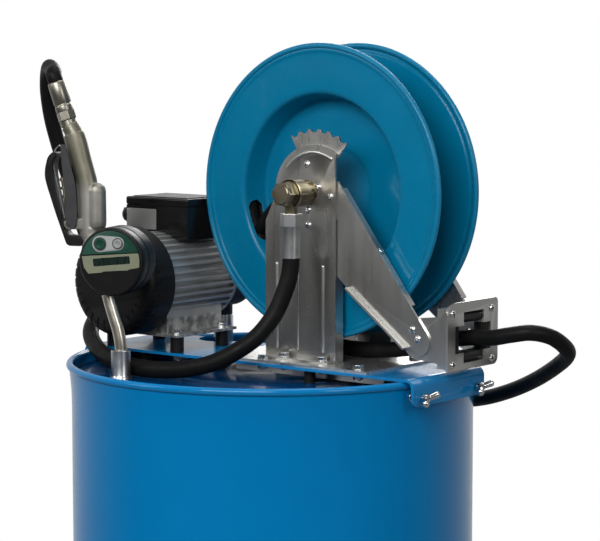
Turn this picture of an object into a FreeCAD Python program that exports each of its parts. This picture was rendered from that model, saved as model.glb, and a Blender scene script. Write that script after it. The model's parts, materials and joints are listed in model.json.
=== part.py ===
import FreeCAD, Part
import math
import os
from FreeCAD import Vector

# Drum pump station: a 200 litre drum carries a clamped-on plate with an electric gear pump, a spring
# driven hose reel and a metering nozzle in its holder.
# Millimetres. +X runs along the mounting plate to the roller guide, +Y to the back, +Z up. Every height
# below is measured from the top of the drum's rim; save() lifts the pieces so that the floor is z = 0.

X_AXIS = Vector(1, 0, 0)
Y_AXIS = Vector(0, 1, 0)
Z_AXIS = Vector(0, 0, 1)

# Drum
DRUM_HEIGHT = 880.0
DRUM_RADIUS = 287.0
DRUM_WALL = 1.5
BEAD_RADIUS = 6.5
HEAD_DEPTH = 20.0
BOTTOM_HEAD_HEIGHT = 14.0
HOOP_RISE = 8.0
HOOP_HALF_WIDTH = 14.0
BUNG = (-173.0, 94.0)
BUNG_HOLE = 29.0
VENT = (173.0, -94.0)
VENT_HOLE = 12.0

# Mounting plate and the parts below it
PLATE_END = 301.0
PLATE_FRONT = -75.0
PLATE_BACK = 93.0
PLATE_THICK = 4.0
FLANGE_DROP = 33.0
FOLD_RADIUS = 12.0
SCREW_HEIGHT = -22.0
WING_SCREWS = {
    "wing_screw_right_front": (1, -56.0),
    "wing_screw_right_back": (1, 74.0),
    "wing_screw_left_front": (-1, -56.0),
    "wing_screw_left_back": (-1, 74.0),
}
WING_SHANK = 4.0
BUFFERS = [(112.0, -56.0), (92.0, 78.0), (-205.0, -45.0), (-205.0, 60.0)]

# Reel frame
SHEET = 3.0
BASE_TOP = PLATE_THICK + SHEET
BASE_BOLTS = [(29.0, -57.0), (196.0, -57.0), (29.0, 74.0), (196.0, 74.0)]
FOOT_BOLTS_FRONT = [(53.0, -40.0), (120.0, -40.0)]
FOOT_BOLTS_BACK = [(53.0, 90.0), (120.0, 90.0)]
COLUMN_FACE = -30.0
COLUMN_LEFT = 12.0
COLUMN_RIGHT = 136.0
FAR_ARM_FACE = 97.0
SECTOR_CENTRE = (98.0, 240.0)
SECTOR_RADIUS = 90.0
SECTOR_ROOT = 69.0
COLUMN_SCREWS = [(86.0, 281.0), (106.0, 250.0), (127.0, 238.0), (88.0, 218.0), (88.0, 197.0)]
ARM_SCREWS = [(264.0, 64.0), (273.0, 52.0)]
ARM_END = (272.0, 48.0)
EDGE_SCREW_AXIS = Vector(-0.8, 0, -0.6)
EDGE_SCREW = Vector(205.0, -18.0, 166.8)

# Roller guide
GUIDE_FACE = 320.0
GUIDE_BOTTOM = 10.0
GUIDE_TOP = 102.0
GUIDE_NEAR = -24.0
GUIDE_SCREWS = [(-12.0, 19.0), (-12.0, 88.0), (82.0, 19.0), (82.0, 88.0)]
WINDOW_TALL = ((14.0, 62.0), (19.0, 88.0))
WINDOW_WIDE = ((-6.0, 79.0), (33.0, 70.0))
FRAME_Y = (-18.0, 91.0)
FRAME_Z = (13.0, 94.0)
FRAME_BACK = 299.0
ROLLER_X = 311.5
ROLLER_Y = (2.5, 70.5)
ROLLER_Z = (26.5, 79.5)
ROLLER_RADIUS = 7.0
PIN_RADIUS = 2.5
RUNNING_CLEARANCE = 0.05

# Hoses are swept in lengths of about this size
ARC_PAIR_LENGTH = 45.0

# Hose reel, turning about an axis parallel to Y
REEL_X = 86.0
REEL_Z = 242.0
DISC_RADIUS = 207.0
DISC_FRONT = -3.0
DISC_SHEET = 1.6
STEP_RADIUS = 195.0
LIP_RADIUS = 4.0
DISH_RIM = 137.0
DISH_FLOOR_RADIUS = 126.5
DISH_FLOOR = 38.0
REEL_MIDDLE = 42.0
AXLE_RADIUS = 12.0
BUSH_RADIUS = 18.0
HUB_RADIUS = 60.0
INNER_HOSE_RADIUS = 8.0
OUTLET_TURN = (-62.0, 5.0, -12.0)
SLOT_ANGLE = 21.0
COIL_RADIUS = 145.5
COIL_PITCH = 22.5
HOSE_RADIUS = 11.0
OUTER_LAYER = COIL_RADIUS + 2 * HOSE_RADIUS + 0.5
SPRING_CASE_RADIUS = 115.0
PAWL_PIVOT = (148.0, 222.0)

# Swivel and supply hose
SUPPLY_RADIUS = 12.0
SWIVEL_END = -88.0
SWIVEL_PORT_Y = -65.0

# Motor and pump, in line along an axis parallel to Y
MOTOR_X = -188.0
MOTOR_Z = 107.0
MOTOR_RADIUS = 68.0
MOTOR_BORE = 56.0
MOTOR_FRONT = -85.0
MOTOR_BACK = 62.0
FIN_COUNT = 38
FIN_DEPTH = 8.0
FAN_COVER_RADIUS = 78.0
FAN_COVER_FRONT = -139.0
FOOT_BOTTOM = 27.0
FOOT_THICK = 4.0
MOTOR_BOLTS = [(MOTOR_X + side * 62.5, y) for side in (1, -1) for y in (-65.0, 35.0)]
SHAFT_RADIUS = 10.0
SHAFT_END_RADIUS = 8.0
BOX_X = (-248.0, -128.0)
BOX_Y = (-38.0, 50.0)
BOX_Z = (172.0, 224.0)
BOX_LID = 12.0
PUMP_RADIUS = 55.0
PUMP_FRONT = 68.0
GEAR_FRONT = 80.0
GEAR_BACK = 108.0
PUMP_BACK = 126.0
GEAR_MODULE = 2.5
GEAR_TEETH = 12
GEAR_CENTRES = GEAR_MODULE * GEAR_TEETH
GEAR_ANGLE = math.radians(25)
GEAR_BACKLASH = 0.25
MESH_X = MOTOR_X + GEAR_CENTRES / 2
OUTLET_Z = 137.0
PORT_END = -242.0

# Nozzle: its own frame has u to the right, w towards the viewer's side and z up, from the holder's axis
HOLDER = (-122.0, -187.0)
NOZZLE_TURN = 21.5
METER_CENTRE = (-2.5, 147.0)
METER_RADIUS = 48.0
METER_BACK = -28.0
METER_FRONT = 29.0
SPOUT_RADIUS = 8.5
TRIGGER_PIVOT = (-71.0, 197.0)
BODY_HALF = 13.0
BUTTONS = {"meter_button_left": (-17.4, 172.0, 8.0), "meter_button_right": (8.6, 173.0, 6.5)}
INLET_FOOT = (-73.0, 331.0)
INLET_TOP = (-93.7, 394.0)
HOSE_OPENING = (-272.0, -115.0, 208.0)


# ---------------------------------------------------------------- helpers

def block(x, y, z):
    """A box from three (low, high) pairs."""
    size = [pair[1] - pair[0] for pair in (x, y, z)]
    return Part.makeBox(size[0], size[1], size[2], Vector(x[0], y[0], z[0]))


def rod(start, axis, length, radius):
    """A cylinder from a start point along an axis."""
    return Part.makeCylinder(radius, length, Vector(*start), axis)


def rod_between(start, end, radius):
    """A cylinder between two points."""
    along = Vector(*end) - Vector(*start)
    return Part.makeCylinder(radius, along.Length, Vector(*start), along)


def ring(start, axis, length, outer, inner):
    """A tube from a start point along an axis."""
    return rod(start, axis, length, outer).cut(rod(start, axis, length, inner))


def hexagon(start, axis, length, radius):
    """A hexagonal prism; radius reaches the corners."""
    across = axis.cross(Z_AXIS if abs(axis.z) < 0.9 else X_AXIS).normalize()
    up = axis.cross(across).normalize()
    centre = Vector(*start)
    corners = []
    for k in range(6):
        turn = math.radians(60 * k)
        corners.append(centre + across * (radius * math.cos(turn)) + up * (radius * math.sin(turn)))
    face = Part.Face(Part.makePolygon(corners + corners[:1]))
    return face.extrude(Vector(axis) * length)


def join(shapes):
    """One solid out of several that meet."""
    return shapes[0].multiFuse(shapes[1:]).removeSplitter()


def outline(steps, place):
    """A closed wire. A step is a point, or a pair (middle, end) for an arc; place makes it 3-D."""
    edges = []
    here = steps[0]
    for step in list(steps[1:]) + [steps[0]]:
        if isinstance(step[0], tuple):
            middle, end = step
            edges.append(Part.Arc(place(*here), place(*middle), place(*end)).toShape())
        else:
            end = step
            edges.append(Part.makeLine(place(*here), place(*end)))
        here = end
    return Part.Wire(edges)


def sheet_xz(steps, y_low, y_high):
    """A flat plate: an outline in X and Z, thick along Y."""
    face = Part.Face(outline(steps, lambda x, z: Vector(x, y_low, z)))
    return face.extrude(Vector(0, y_high - y_low, 0))


def turned(steps, start, axis, radial):
    """A solid of revolution from (radius, distance along the axis) steps."""
    centre = Vector(*start)
    wire = outline(steps, lambda r, h: centre + radial * r + axis * h)
    solid = Part.Face(wire).revolve(centre, axis, 360)
    if solid.Volume < 0:
        solid.reverse()
    return solid


def smooth_curve(points):
    """A curve through the points."""
    curve = Part.BSplineCurve()
    curve.interpolate([Vector(*p) for p in points])
    return curve


def arc_between(start, direction, end):
    """The arc that leaves the start in a direction and ends at the end."""
    chord = end - start
    angle = direction.getAngle(chord)
    if angle < 1e-4:
        return Part.makeLine(start, end)
    side = (direction - chord * (direction.dot(chord) / chord.dot(chord))).normalize()
    middle = (start + end) * 0.5 + side * (0.5 * chord.Length * math.tan(angle / 2))
    return Part.Arc(start, middle, end).toShape()


def arc_pair(start, direction, end, end_direction):
    """Two arcs that meet smoothly and follow both end directions."""
    chord = end - start
    square = 2 * (direction.dot(end_direction) - 1)
    linear = -2 * chord.dot(direction + end_direction)
    constant = chord.dot(chord)
    if abs(square) < 1e-9:
        reach = -constant / linear
    else:
        root = math.sqrt(linear * linear - 4 * square * constant)
        reach = max((-linear - root) / (2 * square), (-linear + root) / (2 * square))
    first_corner = start + direction * reach
    second_corner = end - end_direction * reach
    joint = (first_corner + second_corner) * 0.5
    across = (second_corner - first_corner).normalize()
    return [arc_between(start, direction, joint), arc_between(joint, across, end)]


def hose_along(curve, radius):
    """A round hose that follows a curve in a chain of smooth arcs."""
    first = curve.FirstParameter
    span = curve.LastParameter - first
    count = max(1, round(curve.length() / ARC_PAIR_LENGTH))
    arcs = []
    for k in range(count):
        low = first + span * k / count
        high = first + span * (k + 1) / count
        arcs += arc_pair(curve.value(low), curve.tangent(low)[0], curve.value(high), curve.tangent(high)[0])
    circle = Part.Circle(curve.value(first), curve.tangent(first)[0], radius)
    end = Part.Face(Part.Wire([circle.toShape()]))
    return Part.Wire(arcs).makePipe(end)


def swept_hose(points, radius):
    """A round hose through the points."""
    return hose_along(smooth_curve(points), radius)


def bolt(x, y, seat, nut_top, radius=4.0):
    """A hexagon bolt standing in Z with its washer, and its nut below: three solids."""
    washer = ring((x, y, seat), Z_AXIS, 1.5, 1.95 * radius, radius + 0.1)
    length = seat + 1.5 - nut_top + 2 * radius
    shank = rod((x, y, nut_top - 2 * radius), Z_AXIS, length + 0.5, radius)
    head = hexagon((x, y, seat + 1.5), Z_AXIS, 1.3 * radius, 1.85 * radius)
    nut = hexagon((x, y, nut_top - 1.6 * radius), Z_AXIS, 1.6 * radius, 1.85 * radius)
    nut = nut.cut(rod((x, y, nut_top - 20), Z_AXIS, 40, radius + 0.1))
    return [join([shank, head]), washer, nut]


def screw(start, axis, length, radius=2.5, head=5.0):
    """A cross-head screw; start is under its head and axis points along its shank."""
    rise = 0.6 * head
    dome_radius = (head ** 2 + rise ** 2) / (2 * rise)
    dome = Part.makeSphere(dome_radius, Vector(*start) + axis * (dome_radius - rise))
    dome = dome.common(rod(start, -axis, rise, head))
    return join([dome, rod(start, axis, length, radius)])


def drilled(shape, spots, radius, z_range=(-30, 60)):
    """The shape with vertical holes at (x, y) spots."""
    low, high = z_range
    return shape.cut([rod((x, y, low), Z_AXIS, high - low, radius) for x, y in spots])


def drilled_y(shape, spots, radius, y_low, y_high):
    """The shape with holes along Y at (x, z) spots."""
    return shape.cut([rod((x, y_low, z), Y_AXIS, y_high - y_low, radius) for x, z in spots])


def drilled_x(shape, spots, radius, x_low, x_high):
    """The shape with holes along X at (y, z) spots."""
    return shape.cut([rod((x_low, y, z), X_AXIS, x_high - x_low, radius) for y, z in spots])


def nozzle_place(shape):
    """Takes a shape from the nozzle's own frame (x = u, y = -w) into the station's frame."""
    moved = shape.copy()
    moved.rotate(Vector(0, 0, 0), Z_AXIS, NOZZLE_TURN)
    moved.translate(Vector(HOLDER[0], HOLDER[1], 0))
    return moved


def nozzle_point(u, w, z):
    """A point of the nozzle's own frame in the station's frame."""
    turn = math.radians(NOZZLE_TURN)
    x = HOLDER[0] + u * math.cos(turn) + w * math.sin(turn)
    y = HOLDER[1] + u * math.sin(turn) - w * math.cos(turn)
    return (x, y, z)


def save(name, *shapes):
    """Writes one node: one solid, or a group of separate solids."""
    shape = shapes[0] if len(shapes) == 1 else Part.makeCompound(list(shapes))
    lifted = shape.copy()
    lifted.translate(Vector(0, 0, DRUM_HEIGHT))
    lifted.exportStep(os.path.join("parts", name + ".step"))


# ---------------------------------------------------------------- drum

def drum_shell():
    """Body sheet with two rolling hoops, rolled beads, and both heads seamed in."""
    bottom = -DRUM_HEIGHT + BEAD_RADIUS
    inner = DRUM_RADIUS - DRUM_WALL
    hoops = [-2 * DRUM_HEIGHT / 3, -DRUM_HEIGHT / 3]
    steps = [(inner, bottom), (DRUM_RADIUS, bottom)]
    for hoop in hoops:
        low, high = hoop - HOOP_HALF_WIDTH, hoop + HOOP_HALF_WIDTH
        steps.append((DRUM_RADIUS, low))
        steps.append(((DRUM_RADIUS + HOOP_RISE, hoop), (DRUM_RADIUS, high)))
    steps += [(DRUM_RADIUS, -BEAD_RADIUS), (inner, -BEAD_RADIUS)]
    for hoop in reversed(hoops):
        low, high = hoop - HOOP_HALF_WIDTH, hoop + HOOP_HALF_WIDTH
        steps.append((inner, high))
        steps.append(((inner + HOOP_RISE, hoop), (inner, low)))
    wall = turned(steps, (0, 0, 0), Z_AXIS, X_AXIS)
    bead_middle = DRUM_RADIUS + 1.0
    top_bead = Part.makeTorus(bead_middle, BEAD_RADIUS, Vector(0, 0, -BEAD_RADIUS))
    chime = ring((0, 0, -DRUM_HEIGHT), Z_AXIS, 2 * BEAD_RADIUS, bead_middle + 5.5, bead_middle - 5.5)
    chime = chime.makeFillet(3.0, [e for e in chime.Edges if e.Length > 1000])
    head = rod((0, 0, -HEAD_DEPTH - DRUM_WALL), Z_AXIS, DRUM_WALL, DRUM_RADIUS - 0.5)
    base = rod((0, 0, BOTTOM_HEAD_HEIGHT - DRUM_HEIGHT), Z_AXIS, DRUM_WALL, DRUM_RADIUS - 0.5)
    shell = join([wall, top_bead, chime, head, base])
    shell = drilled(shell, [BUNG], BUNG_HOLE)
    return drilled(shell, [VENT], VENT_HOLE)


# ---------------------------------------------------------------- mounting plate

def edges_along_y(shape, x, z):
    """The edges that run along Y at a height, at the same distance to the left and right."""
    found = []
    for edge in shape.Edges:
        middle = edge.CenterOfMass
        if abs(middle.z - z) < 0.1 and abs(abs(middle.x) - x) < 0.1:
            found.append(edge)
    return found


def mounting_plate():
    """Folded steel plate across the rim with a turned-down flange at each end."""
    top = block((-PLATE_END, PLATE_END), (PLATE_FRONT, PLATE_BACK), (0, PLATE_THICK))
    pieces = [top]
    for side in (-1, 1):
        edges = sorted((side * PLATE_END, side * (PLATE_END - PLATE_THICK)))
        flange = block(edges, (PLATE_FRONT, PLATE_BACK), (-FLANGE_DROP, PLATE_THICK))
        corners = [e for e in flange.Edges if e.Length < PLATE_THICK + 0.1 and e.CenterOfMass.z < -1]
        pieces.append(flange.makeFillet(10.0, corners))
    plate = join(pieces)
    plate = plate.makeFillet(FOLD_RADIUS - PLATE_THICK, edges_along_y(plate, PLATE_END - PLATE_THICK, 0))
    plate = plate.makeFillet(FOLD_RADIUS, edges_along_y(plate, PLATE_END, PLATE_THICK))
    bolts = BASE_BOLTS + FOOT_BOLTS_FRONT + FOOT_BOLTS_BACK + MOTOR_BOLTS
    plate = drilled(plate, bolts, 4.5)
    plate = drilled(plate, [BUNG], 37.0)
    shanks = []
    for side, y in WING_SCREWS.values():
        shanks.append(rod((side * 290, y, SCREW_HEIGHT), X_AXIS * side, 20, WING_SHANK + RUNNING_CLEARANCE))
    return plate.cut(shanks)


def stiffener_channel():
    """Galvanised channel that stiffens the plate under the reel."""
    web = block((-43, 220), (-31, 60), (-2, 0))
    near = block((-43, 220), (-31, -29), (-16, 0))
    far = block((-43, 220), (58, 60), (-16, 0))
    return join([web, near, far])


def wing_screw(side, y):
    """Clamping screw with a pressure pad at its tip and two wings outside."""
    axis = X_AXIS * side
    drum_x = math.sqrt(DRUM_RADIUS ** 2 - (abs(y) - WING_SHANK - 3) ** 2)
    pad_x = drum_x + 0.3
    pad = rod((side * pad_x, y, SCREW_HEIGHT), axis, 4, WING_SHANK + 3)
    shank = rod((side * pad_x, y, SCREW_HEIGHT), axis, 313 - pad_x, WING_SHANK)
    boss = rod((side * (PLATE_END + 2), y, SCREW_HEIGHT), axis, 10, 7)
    wings = []
    for direction in (-1, 1):
        tip = (side * (PLATE_END + 17), y + direction * 16, SCREW_HEIGHT + direction * 6)
        root = (side * (PLATE_END + 7), y, SCREW_HEIGHT)
        wings.append(rod_between(root, tip, 3.5))
        wings.append(Part.makeSphere(5.5, Vector(*tip)))
    return join([shank, pad, boss] + wings)


# ---------------------------------------------------------------- reel frame

def reel_base_plate():
    """Galvanised plate that carries both columns."""
    plate = block((-60, 218), (-68, 106), (PLATE_THICK, BASE_TOP))
    return drilled(plate, BASE_BOLTS + FOOT_BOLTS_FRONT + FOOT_BOLTS_BACK, 4.5)


def toothed_sector(y_low, y_high):
    """The toothed arc on the near column's head."""
    cx, cz = SECTOR_CENTRE
    disc = ring((cx, y_low, cz), Y_AXIS, y_high - y_low, SECTOR_RADIUS, SECTOR_ROOT - 4)
    reach = 2 * SECTOR_RADIUS
    limits = [math.radians(a) for a in (52, 118)]
    ray = [(cx + reach * math.cos(a), cz + reach * math.sin(a)) for a in limits]
    wedge = sheet_xz([(cx, cz), ray[0], ray[1]], y_low, y_high)
    sector = disc.common(wedge)
    notches = []
    for k in range(6):
        turn = math.radians(58 + 11 * k)
        x = cx + (SECTOR_RADIUS + 2) * math.cos(turn)
        z = cz + (SECTOR_RADIUS + 2) * math.sin(turn)
        notches.append(rod((x, y_low - 1, z), Y_AXIS, y_high - y_low + 2, 6.5))
    return sector.cut(notches)


def pressed_ridge():
    """The raised arc that stiffens the near column's head."""
    cx, cz = SECTOR_CENTRE
    height = 1.5
    torus = Part.makeTorus(SECTOR_ROOT - 11, 5.0, Vector(cx, COLUMN_FACE + 5 - height, cz), Y_AXIS)
    reach = 2 * SECTOR_RADIUS
    limits = [math.radians(a) for a in (57, 100, 143)]
    ray = [(cx + reach * math.cos(a), cz + reach * math.sin(a)) for a in limits]
    wedge = sheet_xz([(cx, cz)] + ray, COLUMN_FACE - height - 1, COLUMN_FACE + SHEET - 0.2)
    return torus.common(wedge)


def near_column():
    """Pressed column with beads, a right-hand flange, a foot and a toothed head."""
    cx, cz = SECTOR_CENTRE
    head = SECTOR_ROOT
    right_angle = math.radians(55)
    left_angle = math.radians(165)
    top_angle = math.radians(105)
    arc_start = (cx + head * math.cos(right_angle), cz + head * math.sin(right_angle))
    arc_middle = (cx + head * math.cos(top_angle), cz + head * math.sin(top_angle))
    arc_end = (cx + head * math.cos(left_angle), cz + head * math.sin(left_angle))
    steps = [
        (COLUMN_LEFT, BASE_TOP), (COLUMN_RIGHT, BASE_TOP), (COLUMN_RIGHT, 290),
        arc_start, (arc_middle, arc_end), (arc_end[0], 240), (COLUMN_LEFT, 200),
    ]
    web = sheet_xz(steps, COLUMN_FACE, COLUMN_FACE + SHEET)
    sector = toothed_sector(COLUMN_FACE + SHEET, COLUMN_FACE + 2 * SHEET)
    foot = block((COLUMN_LEFT, COLUMN_RIGHT), (-48, COLUMN_FACE + SHEET), (BASE_TOP, BASE_TOP + SHEET))
    right = block((COLUMN_RIGHT - SHEET, COLUMN_RIGHT), (COLUMN_FACE, -12), (BASE_TOP, 200))
    left = block((COLUMN_LEFT, COLUMN_LEFT + SHEET), (COLUMN_FACE, -12), (BASE_TOP, 190))
    beads = []
    for x in (32.0, 69.0, 114.0):
        low = Vector(x, COLUMN_FACE + 1, BASE_TOP + 15)
        high = low + Z_AXIS * 118
        beads += [rod(low, Z_AXIS, 118, SHEET), Part.makeSphere(SHEET, low), Part.makeSphere(SHEET, high)]
    column = join([web, sector, foot, right, left, pressed_ridge()] + beads)
    column = column.cut(rod((REEL_X, COLUMN_FACE - 5, REEL_Z), Y_AXIS, 20, BUSH_RADIUS + 0.05))
    column = drilled_y(column, COLUMN_SCREWS, 2.6, COLUMN_FACE - 5, COLUMN_FACE + 20)
    return drilled(column, FOOT_BOLTS_FRONT, 4.5, (0, 30))


def far_column():
    """Plain column behind the reel, flanges to the back, foot turned in under the disc."""
    y_low, y_high = FAR_ARM_FACE + SHEET, FAR_ARM_FACE + 2 * SHEET
    steps = [
        (COLUMN_LEFT, BASE_TOP), (COLUMN_RIGHT, BASE_TOP), (COLUMN_RIGHT, REEL_Z),
        ((REEL_X, REEL_Z + 56), (38, REEL_Z)), (COLUMN_LEFT, 205),
    ]
    web = sheet_xz(steps, y_low, y_high)
    foot = block((COLUMN_LEFT, COLUMN_RIGHT), (82, y_high), (BASE_TOP, BASE_TOP + SHEET))
    sides = []
    for x in (COLUMN_LEFT, COLUMN_RIGHT - SHEET):
        sides.append(block((x, x + SHEET), (y_low, y_high + 15), (BASE_TOP, 195)))
    column = join([web, foot] + sides)
    column = column.cut(rod((REEL_X, y_low - 5, REEL_Z), Y_AXIS, 30, BUSH_RADIUS + 0.05))
    column = drilled_y(column, COLUMN_SCREWS[1:3], 2.6, y_low - 5, y_high + 5)
    return drilled(column, FOOT_BOLTS_BACK, 4.5, (0, 30))


def strip(start, end, thick, y_low, y_high):
    """A straight flange that follows a line in X and Z; thick is measured to its left."""
    along = Vector(end[0] - start[0], 0, end[1] - start[1]).normalize()
    side = (-along.z * thick, along.x * thick)
    steps = [start, end, (end[0] + side[0], end[1] + side[1]), (start[0] + side[0], start[1] + side[1])]
    return sheet_xz(steps, y_low, y_high)


def arm(face, upper_flange, lower_flange):
    """Diagonal arm from a column down to the roller guide, with two bent edges."""
    ex, ez = ARM_END
    steps = [
        (112, 259), (112, 207), (137, 207), (137, 128), (154, 113), (ex - 13, ez - 15.5),
        ((ex + 17, ez - 10.5), (ex + 16, ez + 12)), (138, 259),
    ]
    web = sheet_xz(steps, face, face + SHEET)
    upper = strip((258, 96), (142, 250), SHEET, *upper_flange)
    lower = strip((156, 112.5), (254, 37), SHEET, *lower_flange)
    piece = join([web, upper, lower])
    piece = piece.cut(rod((REEL_X, face - 20, REEL_Z), Y_AXIS, 40, BUSH_RADIUS + 1))
    if face < 0:
        piece = piece.cut(rod(EDGE_SCREW - EDGE_SCREW_AXIS * 5, EDGE_SCREW_AXIS, 12, 2.6))
    spots = COLUMN_SCREWS[1:3] + ARM_SCREWS
    return drilled_y(piece, spots, 2.6, face - 20, face + 30)


# ---------------------------------------------------------------- roller guide

def sheet_yz(steps, x_low, x_high):
    """A flat plate: an outline in Y and Z, thick along X."""
    face = Part.Face(outline(steps, lambda y, z: Vector(x_low, y, z)))
    return face.extrude(Vector(x_high - x_low, 0, 0))


def guide_window(x_low, x_high, margin):
    """Cross-shaped cutter in which the four rollers lie."""
    arms = []
    for y, z in (WINDOW_TALL, WINDOW_WIDE):
        arms.append(block((x_low, x_high), (y[0] - margin, y[1] + margin), (z[0] - margin, z[1] + margin)))
    return join(arms)


def roller_box():
    """U bracket: two side plates and a face plate with a window."""
    near, far = GUIDE_NEAR, FAR_ARM_FACE
    low, high = GUIDE_BOTTOM, GUIDE_TOP
    face_steps = [
        (near, low), (far - 10, low), ((far - 3, low + 3), (far, low + 10)),
        (far, high - 7), ((far - 2, high - 2), (far - 7, high)),
        (near + 18, high), ((near + 5, high - 4.5), (near, high - 13)),
    ]
    face = sheet_yz(face_steps, GUIDE_FACE - SHEET, GUIDE_FACE)
    behind = GUIDE_FACE - SHEET
    side_steps = [
        (behind, low + 2), ((behind - 14, low + 10), (behind - 32, low + 13)), (272, low + 13),
        ((246, 50), (272, 80)), (behind - 11, 84), ((behind - 4, 88), (behind, high - 7)),
    ]
    sides = []
    for y in (near, far - SHEET):
        sides.append(sheet_xz(side_steps, y, y + SHEET))
    box = join([face] + sides)
    box = box.cut(guide_window(GUIDE_FACE - 10, GUIDE_FACE + 10, 0))
    box = drilled_y(box, ARM_SCREWS, 2.6, near - 10, far + 10)
    return drilled_x(box, GUIDE_SCREWS, 2.6, GUIDE_FACE - 20, GUIDE_FACE + 10)


def roller_places():
    """Each roller's start point, axis and length."""
    play = 0.5
    z_low = WINDOW_WIDE[1][0] + play
    y_low = WINDOW_TALL[0][0] + play
    upright = WINDOW_WIDE[1][1] - play - z_low
    level = WINDOW_TALL[0][1] - play - y_low
    return {
        "roller_near": ((ROLLER_X, ROLLER_Y[0], z_low), Z_AXIS, upright),
        "roller_far": ((ROLLER_X, ROLLER_Y[1], z_low), Z_AXIS, upright),
        "roller_bottom": ((ROLLER_X, y_low, ROLLER_Z[0]), Y_AXIS, level),
        "roller_top": ((ROLLER_X, y_low, ROLLER_Z[1]), Y_AXIS, level),
    }


def roller(start, axis, length):
    """A plain roller with its bore."""
    return ring(start, axis, length, ROLLER_RADIUS, PIN_RADIUS + RUNNING_CLEARANCE)


def roller_frame():
    """Back plate with four corner blocks, which hold the four roller pins."""
    front = GUIDE_FACE - SHEET
    body = block((FRAME_BACK, front), FRAME_Y, FRAME_Z)
    body = body.cut(guide_window(FRAME_BACK + SHEET, front + 1, 0.1))
    tall, wide = WINDOW_TALL, WINDOW_WIDE
    hose_hole = block((FRAME_BACK - 1, front), (tall[0][0] - 5, tall[0][1] + 3), (wide[1][0], wide[1][1]))
    pins = []
    for start, axis, length in roller_places().values():
        pins.append(rod(Vector(*start) - axis * 8, axis, length + 16, PIN_RADIUS))
    frame = join([body.cut(hose_hole)] + pins)
    return drilled_x(frame, GUIDE_SCREWS, 2.6, front - 12, front + 1)


# ---------------------------------------------------------------- reel

def reel_disc():
    """Near disc: rolled lip, stepped flat ring, dish wall and dish floor."""
    flat_end = DISC_RADIUS - LIP_RADIUS
    raised = DISC_FRONT - 1.5
    steps = [
        (AXLE_RADIUS + 0.3, DISH_FLOOR), (DISH_FLOOR_RADIUS, DISH_FLOOR), (DISH_RIM, DISC_FRONT),
        (STEP_RADIUS - 2, DISC_FRONT), (STEP_RADIUS, raised), (flat_end, raised),
        (flat_end, raised + DISC_SHEET), (STEP_RADIUS + 1, raised + DISC_SHEET),
        (STEP_RADIUS - 1, DISC_FRONT + DISC_SHEET), (DISH_RIM + 1.4, DISC_FRONT + DISC_SHEET),
        (DISH_FLOOR_RADIUS + 1.5, DISH_FLOOR + DISC_SHEET), (AXLE_RADIUS + 0.3, DISH_FLOOR + DISC_SHEET),
    ]
    sheet = turned(steps, (REEL_X, 0, REEL_Z), Y_AXIS, X_AXIS)
    lip_y = DISC_FRONT + DISC_SHEET / 2
    lip = Part.makeTorus(DISC_RADIUS - LIP_RADIUS, LIP_RADIUS, Vector(REEL_X, lip_y, REEL_Z), Y_AXIS)
    return join([sheet, lip])


def hose_slot():
    """Oblong cutter through the dish wall where the inner hose passes."""
    half_span = 8.0
    middle = math.radians(SLOT_ANGLE)
    direction = Vector(-math.cos(middle), 0, -math.sin(middle))
    centre = Vector(REEL_X, 15, REEL_Z)
    cutters = []
    for k in (-1, -0.5, 0, 0.5, 1):
        cutter = rod(centre, direction, 160, 12)
        cutter.rotate(centre, Y_AXIS, k * half_span)
        cutters.append(cutter)
    core = rod((REEL_X, -60, REEL_Z), Y_AXIS, 200, 100)
    return join(cutters).cut(core)


def reel_axle():
    """Hollow axle with the hub flange between the discs and the outlet to the inner hose."""
    axle_end = SWIVEL_END + 6
    axle = rod((REEL_X, axle_end, REEL_Z), Y_AXIS, 110 - axle_end, AXLE_RADIUS)
    hub_low = DISH_FLOOR + DISC_SHEET
    hub = rod((REEL_X, hub_low, REEL_Z), Y_AXIS, 2 * (REEL_MIDDLE - hub_low), HUB_RADIUS)
    start = Vector(REEL_X, 5, REEL_Z)
    along = Vector(*OUTLET_TURN).normalize()
    outlet = rod(start, along, 34, 9.0)
    nut = hexagon(start + along * 26, along, 14, 12.5)
    bore = rod((REEL_X, axle_end, REEL_Z), Y_AXIS, 7 - axle_end, 6.0)
    return join([axle, hub, outlet, nut]).cut([bore, rod(start, along, 40, 5.0)])


def inner_hose():
    """Short hose from the axle's outlet that bends down into the slot of the dish."""
    along = Vector(*OUTLET_TURN).normalize()
    first = Vector(REEL_X, 5, REEL_Z) + along * 40
    points = [(first.x, first.y, first.z)]
    for across, y, drop in ((62, 9.5, 12), (88, 11, 25), (105, 13, 40), (117, 15, 53)):
        points.append((REEL_X - across, y, REEL_Z - drop))
    return swept_hose(points, INNER_HOSE_RADIUS)


def hose_coil():
    """Three wound turns on the dish walls."""
    turns = []
    for k in (-1, 0, 1):
        centre = Vector(REEL_X, REEL_MIDDLE + k * COIL_PITCH, REEL_Z)
        turns.append(Part.makeTorus(COIL_RADIUS, HOSE_RADIUS, centre, Y_AXIS))
    return turns


def spring_case():
    """Cup behind the far dish that holds the rewind spring, with ratchet notches on its hub."""
    start = 2 * REEL_MIDDLE - DISH_FLOOR + 0.05
    depth = 88 - start
    shell = rod((REEL_X, start, REEL_Z), Y_AXIS, depth, SPRING_CASE_RADIUS)
    inside = rod((REEL_X, start, REEL_Z), Y_AXIS, depth - 2, SPRING_CASE_RADIUS - 2)
    ratchet = rod((REEL_X, 88, REEL_Z), Y_AXIS, 4, 45)
    case = join([shell.cut(inside), ratchet])
    cutters = [rod((REEL_X, 40, REEL_Z), Y_AXIS, 80, BUSH_RADIUS + 2)]
    for k in range(8):
        turn = math.radians(45 * k)
        notch = block((REEL_X + 40, REEL_X + 50), (88, 92), (REEL_Z - 4, REEL_Z + 4))
        notch.rotate(Vector(REEL_X, 0, REEL_Z), Y_AXIS, math.degrees(turn))
        cutters.append(notch)
    return case.cut(cutters)


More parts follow.
